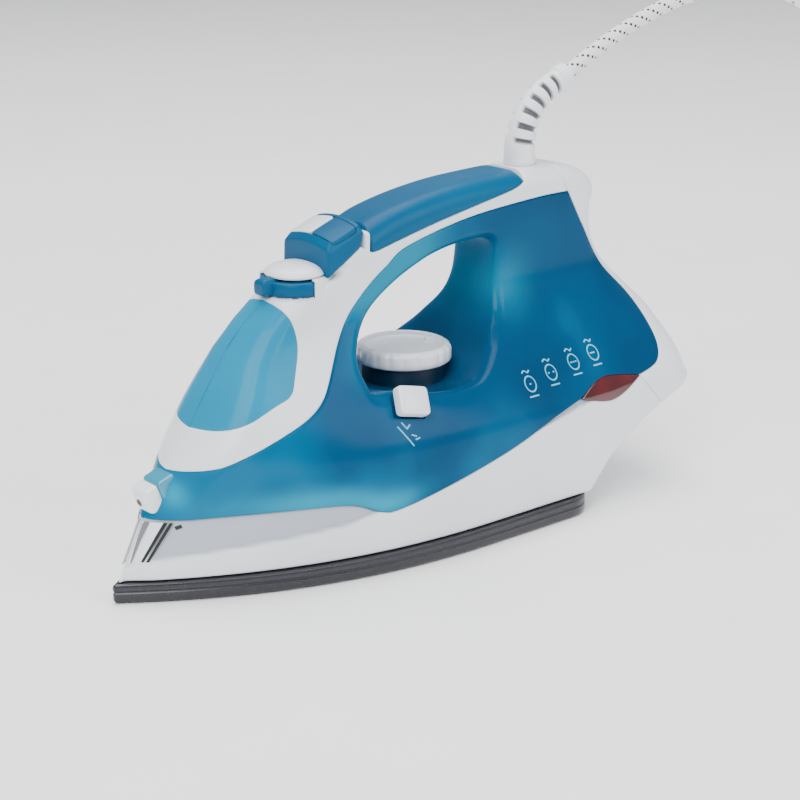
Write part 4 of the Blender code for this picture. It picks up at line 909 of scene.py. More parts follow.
# Soft white polyvinyl chloride of the guard and plug, satin and slightly waxy; its grey is painted shade, mixed into
# the guard's slots by the "shade" attribute.
SOFT_PVC = Finish(
    "soft_white_pvc", "guard_pvc", ((0.3, "E4E6EA"), (0.7, "F0F1F3")), roughness=(0.38, 0.48), ior=1.53, painted_shade_and_glow="4E5158",
)
# Harder white polyvinyl chloride of the plug, a little greyer, and its nickel-plated pins with a warm shine.
PLUG_PVC = Finish(
    "moulded_white_pvc", "plug_pvc", ((0.3, "DCDEE2"), (0.7, "E8E9EC")), roughness=(0.36, 0.46), ior=1.53,
)
NICKEL = Finish(
    "nickel_plated_brass", "pin_metal", ((0.3, "B4AFA4"), (0.7, "C8C4BA")), Pattern.BRUSHED, (0.16, 0.24),
    grain_mm=0.4, relief_mm=0.005, metallic=1.0,
)
# White cotton braid with black flecks, its strands far enough apart that the crossings can be seen.
COTTON_BRAID = Finish(
    "braided_cotton", "cotton_braid", ((0.0, "E6E6E9"), (1.0, "17181B")), Pattern.BRAIDED, (0.75, 0.85),
    relief_mm=0.5,
)
# Pale pad print on the tank.
PRINT_INK = Finish("pale_pad_print", "cyan_visor", ((0.3, "5FB2D0"), (0.7, "79C2DA")), roughness=(0.35, 0.45))


def place(
    piece: bpy.types.Object, body: Optional[Body], finish: Finish, replaced: Sequence[str] = (),
) -> bpy.types.Object:
    """Dresses a piece, sets it riding on its body and hides the nodes it stands for.

    Args:
        piece: the new piece.
        body: what it moves with, if it rides on one body.
        finish: what it is made of.
        replaced: CAD nodes that it stands for.

    Returns:
        The piece.
    """
    piece.data.materials.clear()
    piece.data.materials.append(finish.material())
    if body:
        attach(piece, body.value)
    if replaced:
        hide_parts(*replaced)
    LOG.info("%s on %s in %s", piece.name, body.value if body else "two bodies", finish.name)
    return piece


# ---------------------------------------------------------------- studio

@dataclass(frozen=True)
class Softbox:
    """One square light."""

    name: str
    at: tuple[float, float, float]
    aim: tuple[float, float, float]
    size: float
    watts: float


@dataclass(frozen=True)
class Studio:
    """Pale floor, even pale surroundings, soft lights and the camera."""

    eye: tuple[float, float, float] = (-0.5265, -0.6310, 0.3246)
    target: tuple[float, float, float] = (-0.013, -0.019, 0.065)
    lens_mm: float = 85.0
    floor_size: float = 14.0
    floor_level: float = -0.0004
    sky: float = 0.55
    boxes: tuple[Softbox, ...] = (
        Softbox("key_softbox", (-1.5, -1.0, 1.9), (0.0, 0.0, 0.05), 1.6, 62.0),
        Softbox("side_softbox", (0.9, -1.9, 1.1), (0.0, 0.0, 0.06), 1.2, 20.0),
        Softbox("top_softbox", (0.2, 0.4, 2.2), (0.0, 0.0, 0.08), 1.8, 62.0),
    )

    @staticmethod
    def _aim(made: bpy.types.Object, at: Sequence[float], target: Sequence[float]) -> None:
        """Stands an object at a place, looking at another, in the scene."""
        made.location = at
        made.rotation_euler = (Vector(target) - Vector(at)).to_track_quat("-Z", "Y").to_euler()
        bpy.context.scene.collection.objects.link(made)

    def camera(self) -> bpy.types.Object:
        """Camera at its place, aimed at the iron."""
        data = bpy.data.cameras.new("camera")
        data.lens = self.lens_mm
        data.sensor_width = 36.0
        data.clip_end = 50.0
        made = bpy.data.objects.new("camera", data)
        self._aim(made, self.eye, self.target)
        bpy.context.scene.camera = made
        return made

    def floor(self) -> bpy.types.Object:
        """Flat pale sheet just under the sole."""
        half = self.floor_size / 2
        mesh = bpy.data.meshes.new("floor")
        corners = [(x, y, self.floor_level) for x, y in ((-half, -half), (half, -half), (half, half), (-half, half))]
        mesh.from_pydata(corners, [], [(0, 1, 2, 3)])
        made = bpy.data.objects.new("floor", mesh)
        bpy.context.scene.collection.objects.link(made)
        paint = Finish("pale_floor", "white_abs", ((0.3, "FBFBFC"), (0.7, "FEFEFE")), roughness=(0.8, 0.9))
        mesh.materials.append(paint.material())
        return made

    def lights(self) -> None:
        """Surroundings and softboxes."""
        world = bpy.data.worlds.new("studio")
        bpy.context.scene.world = world
        world.use_nodes = True
        world.node_tree.nodes["Background"].inputs["Color"].default_value = linear("F4F6FA")
        world.node_tree.nodes["Background"].inputs["Strength"].default_value = self.sky
        for box in self.boxes:
            data = bpy.data.lights.new(box.name, "AREA")
            data.shape = "SQUARE"
            data.size = box.size
            data.energy = box.watts
            made = bpy.data.objects.new(box.name, data)
            self._aim(made, box.at, box.aim)


# ---------------------------------------------------------------- lead

@dataclass
class Lead:
    """Braided lead with its swivel, guard, coil, tie and plug."""

    radius: float = 3.5
    coil_centre: tuple[float, float] = (550.0, -5.0)
    coil_radii: tuple[float, float] = (31.5, 45.5)
    layer_heights: tuple[float, float] = (3.8, 10.9)
    entry_radius: float = 55.0
    plug_turns: tuple[float, float] = (29.9, 28.0)
    strand_mm: float = 1.9
    strands_round: int = 12
    plug_centre: tuple[float, float, float] = (538.0, -25.0, 25.6)
    swivel_station: float = 228.5
    guard_radii: tuple[float, float] = (7.4, 5.4)
    ribs: int = 8
    swing_reach: float = 185.0

    def _coil(self) -> np.ndarray:
        """Two layers of turns: in along a spiral on the floor, up one diameter, and out along a spiral on top.

        Angle grows steadily from a quarter turn back; the radius falls and then rises a diameter for each turn.

        Returns:
            Places in s, y, z, from where the lead's straight part ends to where it leaves for the plug.
        """
        inner, outer = self.coil_radii
        low, high = self.layer_heights
        turns = [0.0, 0.25, 0.5, 2.5, 2.75, 4.5417]
        radii = [self.entry_radius, 51.0, outer, inner, inner, inner + 2 * self.radius * 1.79]
        t = np.linspace(0, turns[-1], 220)
        radius = np.interp(t, turns, radii)
        kernel = np.hanning(13)
        radius = np.convolve(np.pad(radius, 6, mode="reflect", reflect_type="odd"), kernel / kernel.sum(), "valid")
        height = low + (high - low) * smooth_step((t - turns[3] + 0.1) / 0.45)
        angle = 2 * np.pi * t - np.pi / 2
        s, y = self.coil_centre
        return np.stack([s + radius * np.cos(angle), y + radius * np.sin(angle), height], -1)

    def path(self) -> np.ndarray:
        """The lead's whole line: from the guard's mouth down to the floor, round the coil and into the plug."""
        free = smooth_curve(CORD_ROUTE, 12)
        coil = self._coil()
        straight, turning = 12, 24
        heading = np.radians(np.concatenate([
            np.full(straight, 195.0), np.linspace(195, 270, turning), np.linspace(270, 360, turning),
        ]))
        wide_turn, last_turn = self.plug_turns
        step = np.concatenate([
            np.full(straight, 2.0), np.full(turning, wide_turn * np.radians(75) / turning),
            np.full(turning, last_turn * np.pi / (2 * turning)),
        ])
        moves = np.stack([np.cos(heading), np.sin(heading)], -1) * step[:, None]
        flat = coil[-1, :2] + np.cumsum(moves, axis=0)
        flat += (np.array(self.plug_centre[:2]) - [16.0, 0.0] - flat[-1]) * np.linspace(0, 1, len(flat))[:, None]
        lift = coil[-1, 2] + (self.plug_centre[2] - coil[-1, 2]) * smooth_step(np.cumsum(step) / 66.0)
        whole = evenly(np.vstack([free, coil[1:], np.column_stack([flat, lift])]), 2.0)
        kernel = np.hanning(19)
        kernel /= kernel.sum()
        padded = np.pad(whole, ((9, 9), (0, 0)), mode="reflect", reflect_type="odd")
        return np.stack([np.convolve(padded[:, k], kernel, "valid") for k in range(3)], -1)

    def build_cord(self) -> bpy.types.Object:
        """The braided tube, which also stands for the coil."""
        path = self.path()
        radius = np.full(len(path), self.radius)
        cord = swept("braided_lead", path, radius, 20, uv_scale=(1.0 / self.strand_mm, self.strands_round))
        place(cord, None, COTTON_BRAID, ["cord", "cord_coil"])
        self.line = in_frame(path)
        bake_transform(cord)
        LOG.info("lead is %.3f m long", lengths(self.line)[-1])
        return cord

    def build_plug(self) -> list[bpy.types.Object]:
        """Two-pin plug: a soft body that narrows to the lead, and two round pins with sleeves."""
        s, y, z = self.plug_centre
        along = np.linspace(0, 1, 40)
        path = np.stack([s - 16 + 32 * along, np.full(40, y), np.full(40, z)], -1)
        swell = 5.0 + 7.2 * smooth_step(along / 0.55) - 1.4 * smooth_step((along - 0.93) / 0.07)
        angle = np.linspace(0, 2 * np.pi, 48, endpoint=False)[None, :]
        squash = 1.0 / (np.abs(np.cos(angle)) ** 3.2 + np.abs(np.sin(angle) / 0.86) ** 3.2) ** (1 / 3.2)
        grips = 0.35 * smooth_step(1.6 * np.sin(2 * np.pi * along * 6.0))[:, None] * (along < 0.62)[:, None]
        body = swept("plug_shell", path, swell[:, None] * squash - grips, 48)
        made = [place(body, Body.HOUSING, PLUG_PVC, ["plug_body"])]
        for side, node in ((-7.0, "plug_pin_left"), (7.0, "plug_pin_right")):
            line = np.stack([s + 16.0 + 18.2 * along, np.full(40, y + side), np.full(40, z)], -1)
            wide = np.where(along < 0.5, 2.35, 2.0) - 0.9 * smooth_step((along - 0.9) / 0.1)
            pin = swept(node + "_turned", line, wide, 24)
            made.append(place(pin, Body.HOUSING, NICKEL, [node]))
        return made

    def build_tie(self) -> bpy.types.Object:
        """Soft strap round the turns: a flat band carried round a rounded rectangle."""
        s, y = self.coil_centre[0], self.coil_centre[1] + sum(self.coil_radii) / 2
        angle = np.linspace(0, 2 * np.pi, 72, endpoint=False)[:, None]
        wide = np.array([0.0, 0.0, 1.1, 1.1])[None, :]
        across = y + (11.0 + wide) * signed_power(np.cos(angle), 0.45)
        height = 7.5 + (7.0 + np.where(np.sin(angle) > 0, wide, wide * 0.3)) * signed_power(np.sin(angle), 0.45)
        span = np.array([-5.0, 5.0, 5.0, -5.0])[None, :]
        ring = np.stack(np.broadcast_arrays(s + span, across, height), -1)
        strap = make_piece("lead_tie", ring.reshape(-1, 3), grid_faces(72, 4, True, True), 50.0)
        return place(strap, Body.HOUSING, RUBBER, ["cord_tie"])

    def build_guard(self) -> bpy.types.Object:
        """Bend guard: a tapering tube along its bend with ribs; slots between them alternate from side to side and are
        darkened with painted shade.
        """
        path = evenly(smooth_curve(GUARD_ROUTE, 24), 0.35)
        run = np.linspace(0, 1, len(path))[:, None]
        angle = np.linspace(0, 2 * np.pi, 56, endpoint=False)[None, :]
        taper = self.guard_radii[0] + (self.guard_radii[1] - self.guard_radii[0]) * run
        side = np.sign(np.cos(angle))
        wave = np.sin(2 * np.pi * (run * self.ribs + 0.25 * side))
        slot = smooth_step((wave - 0.2) / 0.35) * smooth_step((np.abs(np.cos(angle)) - 0.25) / 0.2)
        slot = slot * smooth_step((run - 0.16) / 0.03) * smooth_step((0.86 - run) / 0.03)
        collar = 1.0 * smooth_step((run - 0.88) / 0.02)
        radius = taper + collar - 1.9 * slot
        # Painted shade: the slots are darkened through the "shade" attribute.
        shade = np.broadcast_to(slot, radius.shape)
        guard = swept("lead_guard", path, radius, 56, sharp=55.0, shade=shade)
        return place(guard, Body.SWIVEL, SOFT_PVC, ["cord_guard"])

    def build_swivel(self) -> bpy.types.Object:
        """Round socket that the guard turns in."""
        profile = [(0, 148.3), (7.2, 148.3), (7.2, 157.6), (7.6, 158.0), (7.6, 160.2), (7.0, 161.0), (0, 161.0)]
        bush = turned("swivel_socket", profile, (self.swivel_station, 0, 0), 64)
        return place(bush, Body.SWIVEL, WHITE_ABS, ["swivel_bush"])

    def build(self) -> None:
        cord = self.build_cord()
        plug = self.build_plug()
        tie = self.build_tie()
        self.build_guard()
        self.build_swivel()


# ---------------------------------------------------------------- sole

@dataclass
class Sole:
    """Coated sole with its steam holes."""

    width: float = 108.0
    waist: float = 170.0
    power: float = 2.3
    rear: float = 233.0
    corner: float = 16.0
    thickness: float = 8.5
    vent_radius: float = 1.3

    def half(self, s: np.ndarray) -> np.ndarray:
        """Half width of the plan: the bow's curve, straight behind the waist."""
        return self.width / 2 * (1.0 - np.clip(1.0 - s / self.waist, 0.0, None) ** self.power)

    def plan(self) -> np.ndarray:
        """The plan's outline as s and y, evenly spaced: round tip, bow, flanks and round rear corners."""
        s = 230.0 * np.linspace(0, 1, 300) ** 2
        s = s[s < self.rear - self.corner]
        bow = np.stack([s + 0.2, np.maximum(self.half(s + 0.8), 0.0)], -1)
        turn = np.linspace(0, np.pi / 2, 24)
        side = self.half(np.array([self.rear]))[0] - self.corner
        rear = np.stack([self.rear - self.corner + self.corner * np.sin(turn), side + self.corner * np.cos(turn)], -1)
        half = np.vstack([bow, rear])
        return evenly(np.vstack([half, (half * [1, -1])[::-1]]), 1.2)

    def build(self) -> None:
        """Edge profile carried round the plan, closed on the middle line at the top and bottom."""
        plan = self.plan()
        ahead = np.roll(plan, -1, 0) - np.roll(plan, 1, 0)
        inward = np.stack([ahead[:, 1], -ahead[:, 0]], -1)
        inward /= np.linalg.norm(inward, axis=1, keepdims=True)
        if ((plan.mean(0) - plan) * inward).sum() < 0:
            inward = -inward
        profile = np.array([
            (1.9, 0.0), (0.9, 0.25), (0.3, 0.8), (0.0, 1.6), (0.0, 4.3), (0.35, 4.7), (0.35, 5.2), (0.0, 5.6),
            (0.0, 7.3), (0.25, 8.0), (0.9, 8.45), (2.4, 8.5),
        ])
        edge = plan[:, None] + inward[:, None] * profile[None, :, 0:1]
        height = np.broadcast_to(profile[None, :, 1], edge.shape[:2])
        ring = np.concatenate([edge, height[..., None]], -1)
        core = np.stack([np.clip(plan[:, 0], 14.0, self.rear - 30), np.zeros(len(plan))], -1)
        share = np.array([0.35, 0.7, 1.0])[None, :, None]
        floor = ring[:, :1, :2] * (1 - share) + core[:, None] * share
        roof = ring[:, -1:, :2] * (1 - share) + core[:, None] * share
        floor = np.concatenate([floor, np.zeros_like(floor[..., :1])], -1)
        roof = np.concatenate([roof, np.full_like(roof[..., :1], self.thickness)], -1)
        whole = np.concatenate([floor[:, ::-1], ring, roof], 1)
        faces = grid_faces(len(plan), whole.shape[1], True, False)
        plate = make_piece("coated_sole", whole.reshape(-1, 3), faces, 30.0)
        stations = 58.0 + 32.0 * np.arange(5)
        vents = [(s, side * (float(self.half(s)) - 17.0)) for s in stations for side in (-1, 1)] + [(30.0, 0.0)]
        cutters = [
            turned("vent", [(0, -1.0), (2.3, -1.0), (self.vent_radius, 0.6), (self.vent_radius, 4.5), (0, 4.5)],
                   (s, y, 0), 20)
            for s, y in vents
        ]
        carve(plate, *cutters)
        place(plate, Body.HOUSING, COATED_SOLE, ["soleplate"])


# ---------------------------------------------------------------- skirt

@dataclass
class Skirt:
    """White skirt over the heater, with the hollow under the bow darkened by painted shade, and the strip on the nose.
    """

    hollow_low: tuple[tuple[float, float], ...] = (
        (3, 16.6), (14.5, 17.2), (28, 18.3), (46.8, 20.0), (69.6, 21.7), (92.7, 23.8), (108, 27.5), (126, 33),
        (320, 70),
    )
    hollow_depth: float = 1.5
    hollow_ease: float = 1.3
    bar: tuple[Curve, Curve] = (((8.6, 17.0), (16.6, 33.9)), ((11.0, 17.2), (20.0, 34.0)))
    line_shifts: tuple[float, float] = (0.0, 1.7)
    hole: tuple[Curve, Curve] = (((24.2, 30.6), (26.4, 31.6)), ((23.8, 32.0), (26.0, 33.0)))
    trim: tuple[Curve, Curve] = (((5.6, 15.5), (14.6, 33.6)), ((8.0, 16.6), (16.2, 33.9)))

    def region(self) -> Region:
        """Between the sole and the tank's foot, from the tip to the heel."""
        low = np.vstack([[(3.2, 9.0), (233.5, 9.0)], smooth_curve(HEEL_FOOT[::-1], 10)])
        high = np.vstack([
            smooth_curve(RIDGE[:2], 6), smooth_curve(TANK_FOOT, 10), smooth_curve(LENS_FOOT[::-1], 8),
            [(279, 41.4)],
        ])
        low = evenly(low, 0.8)
        ties = [
            ((3.2, 9), (3.2, 9)), ((15.5, 34.8), (12, 9)), ((17, 34.8), (14, 9)), ((53, 35), (48, 9)),
            ((92, 33.2), (90, 9)), ((108, 27.4), (108, 9)), ((118, 27), (119, 9)), ((150, 34), (152, 9)),
            ((182, 42), (190, 9)), ((205, 50), (216, 9)), ((224, 55.5), (233.5, 9)), ((245, 51), (247, 23.5)),
            ((264, 58.8), (262, 33)), ((279, 41.4), (279, 41.4)),
        ]
        return Region(high, low, ties, 1.5, 34)

    def _hollow(self, s: np.ndarray, z: np.ndarray) -> np.ndarray:
        """One over the hollow, none under its lower edge, eased between."""
        edge = np.asarray(self.hollow_low)
        return smooth_step((z - np.interp(s, edge[:, 0], edge[:, 1])) / self.hollow_ease)

    def width(self, s: np.ndarray, z: np.ndarray) -> np.ndarray:
        """The hull less the hollow's depth."""
        fade = smooth_step((s - 12.0) / 8.0)
        return HULL.half_width(s, z) - self.hollow_depth * self._hollow(s, z) * fade

    def build(self) -> None:
        """Skirt, with painted shade in its hollow, and on each side of its nose a bar, two dark lines of painted
        shadow, a small dark patch of painted shade for a hole, and a bright strip.
        """
        # Painted shade: the hollow under the tank is darkened towards grey through the "shade" attribute.
        skirt = shell_solid(
            "skirt_shell", self.region(), width=self.width,
            shade=lambda p: 0.75 * self._hollow(p[:, 0], p[:, 2]) * smooth_step((p[:, 0] - 12.0) / 5.0),
        )
        place(skirt, Body.HOUSING, WHITE_ABS, ["skirt"])
        for side, tag in ((-1, "near"), (1, "far")):
            bar = skin_strip(f"nose_bar_{tag}", *self.bar, 0.45, 0.8, side)
            place(bar, Body.HOUSING, GLOSS_ABS)
            # Two dark lines of painted shadow along the edges of the slot beside the bar.
            for k, shift in enumerate(self.line_shifts):
                low = [(11.2 + shift, 17.2), (20.3 + shift, 34.0)]
                high = [(12.1 + shift, 17.2), (21.3 + shift, 34.0)]
                line = skin_strip(f"nose_line_{tag}_{k}", low, high, 0.30, 0.8, side)
                place(line, Body.HOUSING, PAINTED_GAP_SHADE)
            # A small dark patch of painted shade, standing for a hole.
            hole = skin_strip(f"nose_hole_{tag}", *self.hole, -1.3, 0.4, side)
            place(hole, Body.HOUSING, PAINTED_GAP_SHADE)
        for side, name, stands_for in ((-1, "nose_strip", ["nose_trim"]), (1, "nose_strip_far", [])):
            trim = skin_strip(name, *self.trim, 0.35, 0.8, side)
            place(trim, Body.HOUSING, CHROME, stands_for)


# ---------------------------------------------------------------- tank

@dataclass
class Tank:
    """Tinted water tank, lamp lens, nozzle, filler neck and the printed marks."""

    dial_station: float = DIAL_STATION
    sink_radii: tuple[float, float] = (26.0, 46.0)
    sink_depth: float = 7.0
    clean_station: float = 127.5
    clean_level: float = 71.0
    clean_tilt: float = math.radians(33.0)
    clean_turn: float = math.radians(-14.0)
    clean_seat: tuple[float, float, float] = (16.5, 14.0, 3.1)

    def region(self) -> Region:
        """The ring between the handle opening and the tank's border."""
        outer = np.vstack([
            smooth_curve(BAND, 10), smooth_curve(TANK_BACK[::-1], 10), smooth_curve(LENS_TOP[::-1], 8),
            smooth_curve(TANK_FOOT[::-1], 10), smooth_curve([(15.5, 34.8), (28, 53.6)], 8),
        ])
        loop = evenly(smooth_curve(OPENING, 12), 0.5)[:-1]
        first = int(np.argmin(np.linalg.norm(loop - [122.0, 75.0], axis=1)))
        inner = np.roll(loop, -first, axis=0)
        inner = np.vstack([inner, inner[:1]])
        ties = [
            ((28, 53.6), (122, 75.0)), ((66, 66), (116.5, 76.0)), ((89, 78), (113.5, 79)), ((96, 86), (113, 84)),
            ((105, 98), (115, 92)), ((125, 119.5), (127, 108)), ((147, 133.5), (153, 123)),
            ((182, 141), (182, 129.5)), ((223, 144.5), (195, 129.5)), ((245, 145), (199.5, 128)),
            ((256, 126), (200.4, 122)), ((269, 106.5), (199.2, 112)), ((281, 91), (197.5, 104)),
            ((284, 75), (195, 97)), ((264, 58.8), (187, 88)), ((241, 62), (182, 83.5)), ((224, 55.5), (174, 78)),
            ((182, 42), (160, 69.5)), ((150, 34), (150, 69.3)), ((118, 27), (141, 70.8)), ((92, 33.2), (135, 72.8)),
            ((53, 35), (129, 74.0)), ((17, 34.8), (125, 74.8)), ((28, 53.6), (122, 75.0)),
        ]
        return Region(outer, inner, ties, 1.6, 56, True)

    def clean_axes(self) -> tuple[np.ndarray, np.ndarray]:
        """Middle of the self-clean button's seat and its axes as rows; the last points out of the tank."""
        outward = np.array([0.0, -math.cos(self.clean_tilt), math.sin(self.clean_tilt)])
        upward = np.array([0.0, math.sin(self.clean_tilt), math.cos(self.clean_tilt)])
        turn = self.clean_turn
        sideways = np.array([1.0, 0.0, 0.0]) * math.cos(turn) + upward * math.sin(turn)
        reach = float(HULL.half_width(np.array([self.clean_station]), np.array([self.clean_level]))[0])
        centre = np.array([self.clean_station, -reach, self.clean_level])
        return centre, np.stack([sideways, np.cross(outward, sideways), outward])

    def sink(self, points: np.ndarray) -> np.ndarray:
        """Lowers the saddle round the dial: full depth up to its collar's reach, eased out to the outer radius."""
        radius = np.hypot(points[:, 0] - self.dial_station, points[:, 1])
        inner, outer = self.sink_radii
        mask = smooth_step((outer - radius) / (outer - inner)) * smooth_step((points[:, 2] - 60.0) / 8.0)
        mask = mask * smooth_step((92.0 - points[:, 2]) / 8.0)
        return points - np.array([0.0, 0.0, 1.0]) * (self.sink_depth * mask)[:, None]

    @staticmethod
    def painted_glow(points: np.ndarray) -> np.ndarray:
        """Painted glow, as values for the "shade" attribute: lighter where light would show through, near the tank's
        foot, the front leg and behind the nozzle.
        """
        s, z = points[:, 0], points[:, 2]
        foot = np.interp(s, [p[0] for p in TANK_FOOT], [p[1] for p in TANK_FOOT])
        glow = 0.75 * np.exp(-((z - foot - 3) / 6.0) ** 2) * np.exp(-((s - 78) / 34.0) ** 2)
        glow += 0.55 * np.exp(-((z - foot - 4) / 5.0) ** 2) * np.exp(-((s - 112) / 14.0) ** 2)
        glow += 0.8 * np.exp(-((s - 25) / 4.5) ** 2 - ((z - 46) / 6.0) ** 2)
        glow += 0.55 * smooth_step((z - 100) / 15.0) * smooth_step((180 - s) / 30.0)
        glow += 0.35 * np.exp(-((s - 205) / 14.0) ** 2 - ((z - 108) / 14.0) ** 2)
        return np.clip(glow, 0, 1)

    def build_shell(self) -> None:
        """Tank, sunk round the dial, with the seat of the self-clean button."""
        # Painted glow: the "shade" attribute mixes a lighter teal into the tank's colour.
        tank = shell_solid("tank_shell", self.region(), deform=self.sink, shade=self.painted_glow)
        centre, axes = self.clean_axes()
        length, width, depth = self.clean_seat
        seat = rounded_box("clean_seat", centre + axes[2] * (8.0 - depth), (length, width, 16.0), 0.0, axes, bulge=6)
        carve(tank, seat)
        place(tank, Body.HOUSING, TANK_POLYCARBONATE, ["water_tank"])

    def build_lens(self) -> None:
        """Lamp lens: its face stands a little proud along its middle, so two facets meet there."""
        top, foot = evenly(smooth_curve(LENS_TOP, 12), 0.4), evenly(smooth_curve(LENS_FOOT[::-1], 12), 0.4)
        ties = [((224, 55.5), (224, 55.5)), ((241, 62), (245, 51)), ((264, 58.8), (264, 58.8))]

        def proud(s: np.ndarray, z: np.ndarray) -> np.ndarray:
            """Hull plus a ridge that falls off both ways."""
            middle = np.interp(s, [224, 244, 264], [55.5, 56.8, 58.8])
            return HULL.half_width(s, z) + 0.5 - 0.16 * np.abs(z - middle)

        lens = shell_solid("lamp_lens_moulding", Region(top, foot, ties, 1.0, 18), width=proud, fillet=0.5)
        place(lens, Body.HOUSING, RED_LENS, ["lamp_lens"])

    def build_nozzle(self) -> None:
        """Spray nozzle: a cyan block in the nose, brighter with painted light, and a white cap whose one fine hole is
        a dark disc of painted shade.
        """
        droop = math.radians(20.0)
        ahead = np.array([-math.cos(droop), 0.0, -math.sin(droop)])
        side = np.array([0.0, 1.0, 0.0])
        axes = np.stack([side, np.cross(ahead, side), ahead])
        centre = np.array([24.0, 0.0, 45.0])
        # Painted light: the block's finish is a brighter copy of the tank's plastic.
        neck = rounded_box("nozzle_block", centre - 2.4 * ahead, (13.0, 12.4, 9.0), 0.25, axes, bulge=8)
        place(neck, Body.HOUSING, NECK_POLYCARBONATE, ["nozzle_neck"])
        cap = rounded_box("nozzle_cap", centre + 5.4 * ahead, (11.4, 11.4, 7.6), 0.3, axes, crown=0.8, bulge=5)
        place(cap, Body.HOUSING, GLOSS_ABS, ["spray_nozzle"])
        # Painted shade: the fine hole is a dark disc on the cap.
        mouth = turned("nozzle_mouth", [(0, 0), (1.6, 0), (1.6, 0.25), (0.9, 0.3), (0.6, 0.1), (0, 0.1)],
                       centre + 9.95 * ahead, 32, axis=tuple(ahead))
        place(mouth, Body.HOUSING, PAINTED_GAP_SHADE)

    def build_filler(self) -> None:
        """Filler neck: an open cup with a rolled rim, under its cover."""
        profile = [(6.8, 64), (8.6, 64), (8.6, 88.6), (9.4, 89.4), (9.4, 91.0), (8.7, 91.8), (7.4, 91.8), (6.8, 91.0)]
        neck = turned("filler_cup", profile, (65.5, 0, 0), 64)
        place(neck, Body.HOUSING, TANK_POLYCARBONATE, ["filler_neck"])

    def _mark(self, name: str, lines: Sequence[Curve], width: float = 0.55) -> None:
        """Prints thin lines on the near side, each a strip of this width about its line."""
        for k, line in enumerate(lines):
            path = evenly(np.asarray(line, float), 0.4)
            ahead = np.gradient(path, axis=0)
            normal = np.stack([-ahead[:, 1], ahead[:, 0]], -1)
            normal /= np.linalg.norm(normal, axis=1, keepdims=True)
            low, high = path - normal * width / 2, path + normal * width / 2
            strip = skin_strip(f"{name}_{k}", low[::2], high[::2], 0.06, 0.4, -1, 0.15)
            place(strip, Body.HOUSING, PRINT_INK)

    def build_marks(self) -> None:
        """Water-level mark and four plain setting marks: rings that hold one, two or three dots, and a waved line."""
        self._mark("level_mark", [
            [(118.5, 63.4), (124.5, 54.2)], [(121.0, 64.6), (123.0, 61.5)], [(122.6, 61.8), (124.8, 63.2)],
            [(124.2, 59.2), (126.6, 58.2)], [(125.6, 57.0), (128.0, 57.4)],
        ], 0.6)
        turn = np.linspace(0, 2 * np.pi, 25)
        for k, (s, z) in enumerate(((196.5, 67.0), (211.0, 69.3), (226.5, 71.0), (240.5, 72.6))):
            ring = np.stack([s + 3.1 * np.cos(turn), z + 3.1 * np.sin(turn)], -1)
            dots = [[(s + d - 0.5, z), (s + d + 0.5, z)] for d in np.linspace(-1.5, 1.5, k + 1) * (k > 0)][:3]
            base = [[(s - 3.0, z - 5.0), (s + 3.0, z - 5.0)]]
            wave = [[(s - 2.6, z + 4.6), (s - 0.8, z + 5.6), (s + 0.8, z + 4.4), (s + 2.6, z + 5.4)]]
            self._mark(f"setting_mark_{k}", [ring] + dots + base + wave)

    def build(self) -> None:
        """Builds the whole tank."""
        self.build_shell()
        self.build_lens()
        self.build_nozzle()
        self.build_filler()
        self.build_marks()


# ---------------------------------------------------------------- handle

